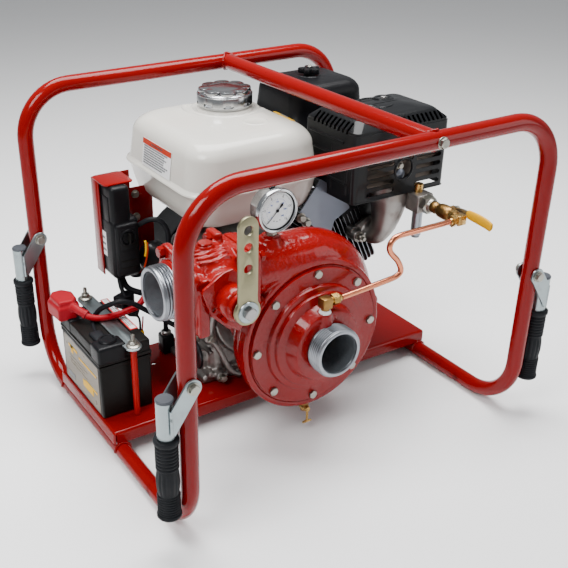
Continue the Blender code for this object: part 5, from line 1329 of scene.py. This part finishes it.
def spiral(thin):
    """The volute's channel as it opens out and runs off to the discharge flange; thin is a wall."""
    points, radii = [], []
    for i in range(61):
        share = i / 60
        angle = math.radians(166 + 284 * share)
        rise = max(0.0, (angle - math.radians(350)) / math.radians(100))
        centre = 0.096 + (CHANNEL_Z - AXIS_Z - 0.096) * rise * rise * (3 - 2 * rise)
        points.append(Vector((AXIS_X + centre * math.cos(angle), VOLUTE_Y,
                              AXIS_Z + centre * math.sin(angle))))
        radii.append(0.018 + (CHANNEL_R - 0.018) * share - thin)
    for x in (-0.04, -0.07, -0.1, -0.1215 - (0.02 if thin else 0)):
        points.append(Vector((x, VOLUTE_Y, CHANNEL_Z)))
        radii.append(CHANNEL_R - thin)
    return sweep(points, radii, CAST_RED, 40)


def volute():
    """The cast casing with its rim, spiral, flange, gauge boss and plugs."""
    body = front_ring(mm((30, 72.3), (90, 72.3), (106, 80), (112, 108), (123.5, 113.5), (124.5, 115),
                         (124.5, 132.5), (123.5, 133.5), (116, 133.5), (115, 132.5), (115, 128.1),
                         (100, 128.1), (96, 126), (96, 76.5), (30, 76.5)), CAST_RED)
    chamber = front_ring(mm((0, 172.3), (115.1, 172.3), (115.1, 128.15), (96.1, 128.15), (96.1, 76.5),
                            (28, 76.5), (28, 50), (0, 50)), CAST_RED, 90)
    outer = cut(spiral(0.0), spiral(0.006), chamber)
    body = cut(body, spiral(0.006))
    bore = rod((-0.15, VOLUTE_Y, CHANNEL_Z), (-0.05, VOLUTE_Y, CHANNEL_Z), 0.036, CAST_RED)
    square = plate(round_rect(0.047, 0.047, 0.013, 7), 0.0125, (-0.1149, VOLUTE_Y, CHANNEL_Z), -X, Y,
                   CAST_RED, bevel=0.002)
    solids = [body, outer, cut(square, bore)]
    boss_x = -0.069
    solids.append(lathe(mm((0, 36), (19, 36), (16.5, 43), (15, 48), (0, 48)),
                        (boss_x, VOLUTE_Y - 0.006, CHANNEL_Z), Z, CAST_RED, 40))
    solids.append(lathe(mm((0, 0), (13.5, 0), (12, 18), (11.5, 24), (0, 24)),
                        (AXIS_X + 0.112, VOLUTE_Y - 0.012, AXIS_Z + 0.012), X, CAST_RED, 32))
    for angle in (200, 245, 290, 335):
        out = spoke(math.radians(angle))
        start = HUB + out * 0.088 - Y * 0.078
        solids.append(sweep([start, HUB + out * 0.1165 - Y * 0.112], 0.005, CAST_RED, 16))
    solids.append(sweep(smooth([(-0.04, VOLUTE_Y + 0.004, 0.3345), (-0.06, VOLUTE_Y + 0.006, 0.3362),
                                (-0.095, VOLUTE_Y + 0.006, 0.3362), (-0.11, VOLUTE_Y + 0.006, 0.334)]),
                        0.004, CAST_RED, 16))
    bits = [cast(solids, CAST_RED, 0.0019, 4)]
    bits.append(hexagon((AXIS_X + 0.135, VOLUTE_Y - 0.012, AXIS_Z + 0.012), X, 0.015, 0.007, PAINT))
    bits.append(hexagon((boss_x, VOLUTE_Y - 0.006, CHANNEL_Z + 0.0475), Z, 0.0225, 0.0032, CAST_RED, 0.2))
    for dy, dz in ((0.036, 0.036), (-0.036, 0.036), (0.036, -0.036), (-0.036, -0.036)):
        bits.append(bolt((-0.109, VOLUTE_Y + dy, CHANNEL_Z + dz), X, 0.015, 0.008, PAINT, 0.0098,
                         turn=dy * 9))
    bits.append(front_ring(mm((113.1, 128.4), (114.9, 128.4), (114.9, 132.5), (113.1, 132.5)), CAST_RED))
    piece("cast_volute", bits, replaces=("volute_casing",))
    lantern = front_ring(mm((30, 5.5), (80, 5.5), (80, 12), (76, 16.5), (56, 20), (51.5, 26), (51.5, 56),
                            (60, 62), (64, 66.5), (64, 71.5), (30, 71.5)), CAST_RED, 64)
    bits = [lantern]
    for i in range(4):
        angle = math.radians(45 + 90 * i)
        out = spoke(angle)
        bits.append(panel([HUB + out * 0.046 - Y * 0.01, HUB + out * 0.079 - Y * 0.01,
                           HUB + out * 0.064 - Y * 0.069, HUB + out * 0.046 - Y * 0.069], 0.008, CAST_RED))
        bits.append(bolt(HUB + spoke(angle + 0.7, 0.069) - Y * 0.0145, -Y, 0.0115, 0.006, BOLT_ZINC, 0.008))
    piece("cast_lantern", bits, replaces=("pump_bracket",))


def suction_side():
    """The stepped cover with its bolts and elbow boss, and the threaded suction nozzle."""
    profile = mm((36.3, 156), (38, 128.4), (112.2, 128.4), (113, 129.2), (113, 136.2), (112.2, 137.1),
                 (90, 137.3), (88.6, 137.8), (88, 139), (87.4, 143.4), (86.6, 144.3), (85, 144.7), (79, 145),
                 (78.2, 145.6), (77.6, 149.6), (76.8, 150.6), (75.2, 151), (66, 151.2), (64, 152),
                 (62.8, 154), (58, 169), (56.6, 171.2), (54, 172.2), (40, 172.2), (37, 171.6), (36.3, 170.6))
    bits = [front_ring(profile, CAST_RED, 128, sharp=34.0)]
    pad = lathe(mm((0, 30), (15, 30), (13.2, 46), (12.2, 56), (11.2, 56.8), (0, 56.8)),
                (-0.016, -0.165, AXIS_Z), Z, CAST_RED, 48)
    shelf = block((-0.036, -0.1735, AXIS_Z + 0.04), (0.006, -0.15, AXIS_Z + 0.0545), CAST_RED, 0.006, 3)
    bits.append(cast([pad, shelf], CAST_RED, 0.0014, 4))
    for i in range(8):
        angle = 2 * math.pi * i / 8
        place = HUB + Vector((math.sin(angle), 0, math.cos(angle))) * 0.105 - Y * 0.1372
        bits.append(bolt(place, -Y, 0.0122, 0.0042, BOLT_ZINC, 0.0, turn=0.2 + 0.35 * i))
    dice = random.Random(12)
    for i in range(4):
        angle = math.radians(222 + 4.2 * i)
        place = HUB + spoke(angle, 0.0715) - Y * 0.15
        bits.append(block(place - Vector((0.0012, 0.0008, 0.0022)), place + Vector((0.0012, 0.0003, 0.0022)),
                          CAST_RED, 0.0005, 1, (Y, 40 + 30 * dice.random())))
    piece("cast_suction_cover", bits, replaces=("suction_cover",))
    bits = [threaded(BORE_R, PORT_R + 0.0006, 0.1735, 0.1975, HUB, -Y, MACHINED, 0.004, 0.0024, 96)]
    bits.append(front_ring([(BORE_R, 0.1565), (0.0358, 0.1565), (0.0358, 0.1745), (BORE_R, 0.1745)],
                           MACHINED))
    bits.append(front_ring([(BORE_R, 0.1972), (0.0372, 0.1972), (0.038, 0.1978), (0.0378, 0.199),
                            (0.0366, 0.2), (0.0336, 0.2), (0.0324, 0.1992), (BORE_R, 0.1975)], MACHINED))
    # A darker sleeve over the bore wall: painted shade inside the nozzle.
    bits.append(front_ring([(BORE_R - 0.0006, 0.1195), (BORE_R + 0.0004, 0.1195), (BORE_R + 0.0004, 0.196),
                            (BORE_R - 0.0006, 0.196)], DARK_ALU))
    piece("suction_thread", bits, replaces=("suction_nozzle",))


VALVE_X = -0.172


def valve():
    """The ball valve: ribbed body round the ball's chamber, two bolted flanges, bonnet, plate, lever and
    outlet.
    """
    axis_at = (0, VOLUTE_Y, CHANNEL_Z)
    lo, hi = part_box("discharge_valve_body")
    left, right = -lo.x, -hi.x
    bore = rod((lo.x - 0.01, VOLUTE_Y, CHANNEL_Z), (hi.x + 0.01, VOLUTE_Y, CHANNEL_Z), BORE_R, CAST_RED, 48)
    room = lathe([(0, -0.042)] + [(0.042 * math.cos(a), 0.042 * math.sin(a))
                                  for a in (math.radians(-80 + 10 * i) for i in range(17))] + [(0, 0.042)],
                 (VALVE_X, VOLUTE_Y, CHANNEL_Z), Z, CAST_RED, 48)
    barrel = lathe([(0, right + 0.001), (0.046, right + 0.001), (0.046, right + 0.012),
                    (0.046, right + 0.016), (0.05, right + 0.026), (0.0525, right + 0.038), (0.053, 0.172),
                    (0.052, 0.186), (0.048, 0.196), (0.044, 0.206), (0.044, left - 0.001),
                    (0, left - 0.001)], axis_at, -X, CAST_RED, 64)
    solids = [cut(barrel, bore, room)]
    for x, depth, half, turn in ((hi.x - 0.0068, 0.013, 0.047, 0.0), (lo.x + 0.008, 0.012, 0.05, 12.0)):
        bore = rod((x - 0.02, VOLUTE_Y, CHANNEL_Z), (x + 0.02, VOLUTE_Y, CHANNEL_Z), 0.036, CAST_RED, 40)
        side = Y * math.cos(math.radians(turn)) + Z * math.sin(math.radians(turn))
        solids.append(cut(plate(round_rect(half, half, 0.013, 7), depth, (x, VOLUTE_Y, CHANNEL_Z), -X, side,
                                CAST_RED, bevel=0.002), bore))
    for i, angle in enumerate((56, 65, 74, 83, 97, 106, 115)):
        a = math.radians(angle)
        ridge = []
        for k in range(9):
            x = -0.148 - k * 0.0062
            r = 0.0512 + 0.0022 * math.sin(math.pi * k / 8) + 0.001 * math.sin(1.4 * k + i)
            wave = a + 0.04 * math.sin(0.85 * k + 0.5)
            ridge.append((x, VOLUTE_Y - r * math.cos(wave), CHANNEL_Z + r * math.sin(wave)))
        solids.append(sweep(smooth(ridge, 4), 0.002, CAST_RED, 12))
    solids.append(rod((-0.175, -0.094, CHANNEL_Z + 0.045), (-0.175, -0.094, CHANNEL_Z + 0.058), 0.0122,
                      CAST_RED, 36))
    solids.append(block((-0.215, -0.148, 0.236), (-0.1975, -0.044, 0.325), CAST_RED, 0.003, 2))
    solids.append(block((-0.15, -0.078, 0.32), (-0.135, -0.048, 0.354), CAST_RED, 0.004, 2))
    solids.append(lathe(mm((7.8, 134), (36, 134), (36.5, 144.5), (34.5, 147), (29, 148), (27, 150),
                           (27, 153), (7.8, 153)), (VALVE_X, 0, CHANNEL_Z), -Y, CAST_RED, 56))
    for angle in (18, 162, 198, 342):
        a = math.radians(angle)
        at = Vector((VALVE_X + 0.034 * math.cos(a), -0.132, CHANNEL_Z + 0.034 * math.sin(a)))
        solids.append(rod(at, at - Y * 0.0125, 0.0068, CAST_RED, 20))
    bits = [cast(solids, CAST_RED, 0.0018, 3)]
    bits.append(bolt((-0.15, -0.064, 0.3445), -X, 0.015, 0.0085, PAINT, 0.0))
    bits.append(lathe(mm((0, 57), (10.6, 57), (10.6, 59.8), (9.6, 61), (0, 61)), (-0.175, -0.094, CHANNEL_Z),
                      Z, PAINT, 36))
    diamond = mm((0, -47), (4.5, -45.5), (43, -6), (43, 6), (4, 44), (-10, 42), (-42, 23), (-43.5, 18),
                 (-30, -20), (-4.5, -45.5))
    bits.append(plate(diamond[::-1], 0.0055, (VALVE_X, -0.1565, CHANNEL_Z), -Y, X, CAST_RED,
                      [(-0.0265, -0.0105, 0.003), (0.03, 0.0, 0.003)], 0.0012))
    bits.append(lathe(mm((8, 159), (24.5, 159), (25, 160), (25, 180), (23.5, 183), (20.5, 185),
                         (20.5, 191.5), (19, 192.8), (8, 192.8)), (VALVE_X, 0, CHANNEL_Z), -Y, CAST_RED, 64))
    bits.append(block((VALVE_X - 0.017, -0.176, CHANNEL_Z - 0.037),
                      (VALVE_X + 0.012, -0.16, CHANNEL_Z - 0.022), CAST_RED, 0.0022, 3, (Y, 38)))
    for x, out, half, turn in ((hi.x - 0.013, -X, 0.0365, 0.0), (lo.x + 0.002, -X, 0.0385, 12.0)):
        for sy, sz in ((1, 1), (-1, 1), (1, -1), (-1, -1)):
            c, s = math.cos(math.radians(turn)), math.sin(math.radians(turn))
            dy, dz = half * (sy * c - sz * s), half * (sy * s + sz * c)
            bits.append(bolt((x, VOLUTE_Y + dy, CHANNEL_Z + dz), out, 0.015, 0.0085, PAINT, 0.0,
                             turn=0.3 + dy * 20))
    piece("cast_valve_body", bits, replaces=("discharge_valve_body",))
    nozzle_lo, nozzle_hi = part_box("discharge_nozzle")
    near, far = -nozzle_hi.x, -nozzle_lo.x
    bits = [threaded(BORE_R, PORT_R + 0.0006, near + 0.006, far - 0.0055, axis_at, -X, MACHINED, 0.0042,
                     0.0024, 96)]
    bits.append(lathe([(BORE_R, near), (0.042, near), (0.043, near + 0.001), (0.043, near + 0.0048),
                       (0.04, near + 0.0065), (0.0385, near + 0.0085), (BORE_R, near + 0.0085)], axis_at, -X,
                      CAST_RED, 96))
    bits.append(lathe([(BORE_R, far - 0.0062), (0.0375, far - 0.0062), (0.0388, far - 0.005),
                       (0.039, far - 0.0022), (0.038, far - 0.0006), (0.0366, far), (0.0338, far),
                       (0.0325, far - 0.001), (BORE_R, far - 0.003)], axis_at, -X, MACHINED, 96))
    # A darker sleeve over the bore wall: painted shade inside the nozzle.
    bits.append(lathe([(BORE_R - 0.0004, near + 0.001), (BORE_R + 0.0002, near + 0.001),
                       (BORE_R + 0.0002, far - 0.004), (BORE_R - 0.0004, far - 0.004)], axis_at, -X,
                      DARK_ALU, 96))
    piece("discharge_thread", bits, replaces=("discharge_nozzle",))
    lever()


def lever():
    """The flat valve lever with its three holes, broad washer and bolt."""
    back_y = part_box("valve_lever")[1].y
    outline = ring2(0, 0, 0.0195, 30, math.radians(142), math.radians(256))
    outline += [(0.0146, 0.022), (0.015, 0.03)]
    outline += ring2(0, 0.121, 0.015, 22, 0.0, math.pi) + [(-0.015, 0.03), (-0.0146, 0.022)]
    face_y = -0.1995
    bits = [plate(outline, 0.005, (VALVE_X, face_y - 0.0025, CHANNEL_Z), -Y, X, PASSIVATED,
                  [(0.0, reach, 0.0068) for reach in (0.063, 0.093, 0.117)], 0.0008)]
    bits.append(lathe(mm((7, 0), (19.2, 0), (19.6, 0.8), (19.2, 1.6), (7, 1.6)),
                      (VALVE_X, face_y + 0.0014, CHANNEL_Z), -Y, PASSIVATED, 48))
    bits.append(lathe(mm((0, 0), (15.2, 0), (15.8, 0.7), (15, 2), (11.8, 2.4), (0, 2.4)),
                      (VALVE_X, face_y - 0.005, CHANNEL_Z), -Y, ZINC, 56))
    bits.append(hexagon((VALVE_X, face_y - 0.0072, CHANNEL_Z), -Y, 0.017, 0.0066, STEEL, 0.35))
    bits.append(rod((VALVE_X, face_y - 0.001, CHANNEL_Z), (VALVE_X, back_y - 0.0002, CHANNEL_Z), 0.0066,
                    STEEL, 32))
    piece("lever_handle", bits, "discharge_lever", ("valve_lever",))


def words(text, size, at, mat, depth=0.0002):
    """Numerals in relief, facing forward and centred on a place."""
    data = bpy.data.curves.new("bit", "FONT")
    data.body = text
    data.size = size
    data.extrude = depth
    data.align_x = "CENTER"
    data.align_y = "CENTER"
    mesh = from_curve(data)
    mesh.transform(Matrix.Translation(Vector(at)) @ Matrix.Rotation(math.pi / 2, 4, "X"))
    mesh.materials.clear()
    mesh.materials.append(mat)
    return loose(mesh)


GAUGE = (-0.069, 0, 0.386)


def tick(face, degrees, reach, length, half_width, mat):
    """One mark of the dial, from reach inward."""
    out = spoke(math.radians(degrees))
    side = spoke(math.radians(degrees + 90), half_width)
    outer = face + out * reach
    inner = outer - out * length
    return panel([outer - side, outer + side, inner + side, inner - side], 0.0003, mat)


def gauge():
    """The pressure gauge: polished case and bezel, printed dial, needle and hexagon stem."""
    x, z = GAUGE[0], GAUGE[2]
    case = lathe(mm((0, 88), (24, 88), (29, 88.8), (30.6, 91), (31, 108), (31.8, 109.6), (33, 110.5),
                    (33.2, 116), (32.2, 118.2), (30.5, 118.8), (28.8, 118), (28.3, 116.5), (28.3, 114),
                    (0, 114)), GAUGE, -Y, CHROME, 96)
    dial = lathe(mm((0, 113.9), (28.2, 113.9), (28.2, 114.3), (0, 114.3)), GAUGE, -Y, DIAL, 72)
    # A black wedge in the corner between dial and bezel: painted shade round the dial's rim.
    inner = lathe(mm((27.2, 114.3), (28.4, 114.3), (28.4, 117.2), (27.2, 116)), GAUGE, -Y, WIRE_BLACK, 72)
    bits = [case, dial, inner]
    face = Vector((x, -0.1144, z))
    for i in range(51):
        big = i % 10 == 0
        length = 0.0034 if big else (0.0022 if i % 5 == 0 else 0.0014)
        bits.append(tick(face, 225 - 5.4 * i, 0.0252, length, 0.00034 if big else 0.00018, PRINT))
    for i in range(31):
        bits.append(tick(face, 225 - 9 * i, 0.0178, 0.002 if i % 5 == 0 else 0.0011, 0.00018, BLUE_PRINT))
    for count, turn, value, reach, drop, size, mat in ((6, 54, 3, 0.0206, 0.0001, 0.0046, PRINT),
                                                       (7, 45, 40, 0.0132, 0.0, 0.0032, BLUE_PRINT)):
        for i in range(count):
            at = face + spoke(math.radians(225 - turn * i), reach) - Z * drop
            bits.append(words(str(i * value), size, at, mat))
    for dx, dz in ((-0.005, -0.015), (0.0, -0.0165), (0.005, -0.015)):
        bits.append(lathe(mm((0, 0), (0.9, 0), (0.9, 0.3), (0, 0.3)), face + X * dx + Z * dz, -Y, PRINT, 16))
    bits.append(rod((x, -0.1, z + 0.03), (x, -0.1, z + 0.0335), 0.005, WIRE_BLACK, 24, 0.001))
    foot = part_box("pressure_gauge")[0].z
    bits.append(hexagon((x, -0.1, foot + 0.0002), Z, 0.014, 0.0095, BOLT_ZINC, 0.3))
    bits.append(rod((x, -0.1, foot + 0.006), (x, -0.1, z - 0.0285), 0.006, BOLT_ZINC, 28))
    piece("gauge_case", bits, replaces=("pressure_gauge",))
    turn = math.radians(225)
    out = spoke(turn)
    side = Vector((-math.sin(turn), 0, math.cos(turn)))
    at = Vector((x, -0.1158, z))
    bits = [panel([at - out * 0.0085 - side * 0.0007, at - out * 0.0085 + side * 0.0007,
                   at + out * 0.023 + side * 0.0003, at + out * 0.023 - side * 0.0003], 0.0006, WIRE_BLACK)]
    bits.append(panel([at - out * 0.011 - side * 0.0019, at - out * 0.0135, at - out * 0.011 + side * 0.0019,
                       at - out * 0.006 + side * 0.0012, at - out * 0.006 - side * 0.0012], 0.0006,
                      WIRE_BLACK))
    bits.append(lathe(mm((0, -0.6), (2.4, -0.6), (2.4, 0.8), (1.2, 1.4), (0, 1.4)), at, -Y, WIRE_BLACK, 24))
    piece("gauge_pointer", bits, "needle", ("gauge_needle",))


LINE_Y = -0.167
LINE_ROUTE = mm((13.5, 250), (40, 251.5), (95, 255.5), (117, 258.5), (124, 267), (116, 284), (101, 301),
                (98, 311), (102, 320), (114, 325), (150, 325.5), (217.2, 325.5))


def primer():
    """The copper suction line, its brass fittings, the ejector and the yellow shut-off lever."""
    line = [(x, LINE_Y, z) for x, z in LINE_ROUTE]
    piece("copper_line", [sweep(smooth(line, 8), 0.0045, COPPER, 28)], replaces=("primer_line",))
    elbow_x = -0.016
    bits = [block((elbow_x - 0.008, LINE_Y - 0.008, 0.241), (elbow_x + 0.008, LINE_Y + 0.008, 0.2575),
                  DARK_BRASS, 0.0012, 2)]
    bits.append(rod((elbow_x, LINE_Y, 0.235), (elbow_x, LINE_Y, 0.242), 0.0066, DARK_BRASS, 28))
    bits.append(rod((elbow_x + 0.007, LINE_Y, 0.25), (elbow_x + 0.0125, LINE_Y, 0.25), 0.006, BRASS, 28))
    bits.append(hexagon((elbow_x + 0.0115, LINE_Y, 0.25), X, 0.0158, 0.0125, BRASS, 0.26))
    bits.append(lathe(mm((4.6, 0), (6.2, 0), (5.6, 3), (4.6, 3.6)), (elbow_x + 0.0238, LINE_Y, 0.2502), X,
                      BRASS, 28))
    for lift, radius in ((0.2338, 0.0084), (0.2352, 0.0078), (0.2366, 0.0072)):
        ring = [p + Z * 0.0006 * math.sin(3 * i) for i,
                p in enumerate(ring3((elbow_x, LINE_Y, lift), radius, 26))]
        bits.append(sweep(ring, 0.0011, TAPE, 10, closed=True))
    bits.append(panel([(elbow_x - 0.01, LINE_Y - 0.0075, 0.2338), (elbow_x - 0.002, LINE_Y - 0.0098, 0.233),
                       (elbow_x + 0.004, LINE_Y - 0.0092, 0.2338),
                       (elbow_x - 0.003, LINE_Y - 0.007, 0.2352)], 0.0006, TAPE))
    piece("brass_elbow", bits, replaces=("hub_elbow",))
    x, z = 0.2345, 0.3265
    guard_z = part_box("muffler_guard")[0].z
    bits = [block((x - 0.0165, -0.0905, z - 0.016), (x + 0.015, -0.06, guard_z - 0.0012), CAST_ALU, 0.0022,
                  3)]
    bits.append(rod((x, -0.07, guard_z - 0.006), (x, -0.07, guard_z + 0.012), 0.0072, BRASS, 32))
    bits.append(rod((x - 0.0015, -0.075, z - 0.06), (x - 0.0015, -0.075, z - 0.012), 0.0085, MACHINED, 36,
                    0.0008))
    bits.append(rod((x - 0.0015, -0.075, z - 0.0635), (x - 0.0015, -0.075, z - 0.059), 0.0068, DARK_ALU, 36,
                    0.0008))
    bits.append(hexagon((x, -0.09, z), -Y, 0.027, 0.014, BOLT_ZINC, 0.2))
    bits.append(lathe(mm((0, 0), (11.8, 0), (10.8, 3), (10, 4.2), (0, 4.2)), (x, -0.1038, z), -Y, BOLT_ZINC,
                      40))
    piece("ejector_block", bits, replaces=("primer_ejector",))
    valve_y = -0.136
    barrel = lathe(mm((0, 108.4), (9.2, 108.4), (9.6, 110), (9.6, 116), (8.4, 118), (8.4, 121.5), (10, 123),
                      (11.2, 126), (11.8, 132), (11.8, 140), (11.2, 146), (9.8, 149), (8.6, 150.5),
                      (8.6, 162), (0, 162)), (x, 0, z), -Y, DARK_BRASS, 56)
    bits = [barrel, hexagon((x, -0.15, z), -Y, 0.0176, 0.009, BRASS, 0.1)]
    bits.append(block((x - 0.0085, LINE_Y - 0.008, z - 0.0085), (x + 0.0075, LINE_Y + 0.008, z + 0.0075),
                      BRASS, 0.0012, 2))
    bits.append(hexagon((x - 0.017, LINE_Y, z - 0.001), X, 0.0158, 0.01, BRASS, 0.26))
    bits.append(lathe(mm((4.6, 0), (5.4, 0), (6.2, 3.6), (4.6, 3.6)), (x - 0.0204, LINE_Y, z - 0.001), X,
                      BRASS, 28))
    bits.append(rod((x + 0.006, valve_y, z), (x + 0.0178, valve_y, z), 0.006, DARK_BRASS, 32, 0.0006))
    bits.append(hexagon((x + 0.011, valve_y, z), X, 0.0135, 0.0045, DARK_BRASS, 0.2))
    piece("brass_valve", bits, replaces=("primer_valve_body",))
    lo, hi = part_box("primer_valve_lever")
    mid_x = (lo.x + hi.x) / 2 - 0.0018
    shank = [(mid_x, valve_y + 0.006, z), (mid_x, valve_y - 0.006, z),
             (mid_x + 0.0004, valve_y - 0.022, z + 0.0014), (mid_x + 0.0006, valve_y - 0.036, z + 0.0016)]
    bits = [sweep(smooth(shank, 6), 0.0062, BOLT_ZINC, 20, flat=(X, 0.26))]
    route = smooth([(mid_x + 0.0006, valve_y - 0.026, z + 0.0016),
                    (mid_x + 0.0008, valve_y - 0.045, z + 0.0012),
                    (mid_x + 0.0006, valve_y - 0.066, z - 0.0004), (mid_x, valve_y - 0.079, z - 0.003)], 8)
    last = len(route) - 1
    radii = [0.0072 + 0.0012 * math.sin(math.pi * i / last) - (0.0022 if i in (0, last) else 0)
             for i in range(last + 1)]
    bits.append(sweep(route, radii, YELLOW, 28, flat=(X, 0.42)))
    bits.append(bolt((mid_x + 0.0016, valve_y, z), X, 0.0098, 0.0042, BOLT_ZINC, 0.006))
    piece("yellow_lever", bits, "primer_lever", ("primer_valve_lever",))


def drain():
    """The little brass drain cock under the casing and its tee handle."""
    x, y = -0.014, -0.121
    lo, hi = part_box("drain_cock")
    bits = [lathe([(0, 0), (0.005, 0), (0.0058, 0.002), (0.0058, 0.0035), (0.0046, 0.005),
                   (0.0046, hi.z - lo.z), (0, hi.z - lo.z)], (x, y, lo.z), Z, DARK_BRASS, 32)]
    bits.append(hexagon((x, y, hi.z - 0.007), Z, 0.0135, 0.005, DARK_BRASS, 0.3))
    bits.append(lathe(mm((0, -7), (4.8, -7), (6.2, -5), (6.2, 6), (5.2, 8), (0, 8)), (x, y, 0.04), -Y, BRASS,
                      32))
    piece("drain_cock_body", bits, replaces=("drain_cock",))
    lo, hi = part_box("drain_handle")
    bits = [sweep([(x, y - 0.01, 0.041), (x, y - 0.01, 0.03), (x, y - 0.0102, 0.018)],
                  [0.0022, 0.002, 0.0019], BRASS, 16)]
    bits.append(sweep([(x - 0.008, y - 0.01, 0.0166), (x - 0.003, y - 0.01, 0.017),
                       (x + 0.003, y - 0.01, 0.017), (x + 0.008, y - 0.01, 0.0166)],
                      [0.0018, 0.0022, 0.0022, 0.0018], BRASS, 16))
    bits.append(lathe(mm((0, 8.2), (4.8, 8.2), (5, 9.6), (4, 12.2), (0, 12.2)), (x, y, 0.04), -Y, BRASS, 28))
    piece("drain_tee_handle", bits, "drain_tee", ("drain_handle",))


def inside():
    """Finishes for the parts that stay as drawn inside the casings."""
    for name, mat in (("crankshaft", STEEL), ("flywheel", CAST_ALU), ("impeller", BRONZE),
                      ("valve_ball", CHROME)):
        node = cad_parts[name]
        node.data.materials.clear()
        node.data.materials.append(mat)


volute()
suction_side()
valve()
gauge()
primer()
drain()
inside()

# ---- Floor, light and finish --------------------------------------------------------------

world = bpy.data.worlds.new("studio")
world.use_nodes = True
world.node_tree.nodes["Background"].inputs["Color"].default_value = (0.95, 0.97, 1.0, 1.0)
world.node_tree.nodes["Background"].inputs["Strength"].default_value = 0.38
bpy.context.scene.world = world


def softbox(name, at, target, size, power, color=(1, 1, 1)):
    """A square studio light."""
    lamp = bpy.data.lights.new(name, "AREA")
    lamp.shape = "RECTANGLE"
    lamp.size, lamp.size_y = size
    lamp.energy = power
    lamp.color = color
    obj = bpy.data.objects.new(name, lamp)
    obj.location = at
    obj.rotation_euler = (Vector(target) - Vector(at)).to_track_quat("-Z", "Y").to_euler()
    bpy.context.scene.collection.objects.link(obj)


softbox("key", (-1.3, -0.5, 1.7), (0, 0, 0.25), (0.9, 0.7), 34)
softbox("overhead", (0.2, 0.3, 2.0), (0, 0, 0.2), (1.8, 1.0), 98)
softbox("side", (1.5, -1.5, 0.9), (0, 0, 0.3), (0.8, 1.2), 9)
bpy.ops.mesh.primitive_plane_add(size=14, location=(0, 0, -0.0004))
floor = bpy.context.active_object
floor.name = "floor"
floor.data.materials.append(finish("pale_floor", (0.9, 0.9, 0.9), 0.6, grain=(30, 0.01), mottle=(0.01, 2)))
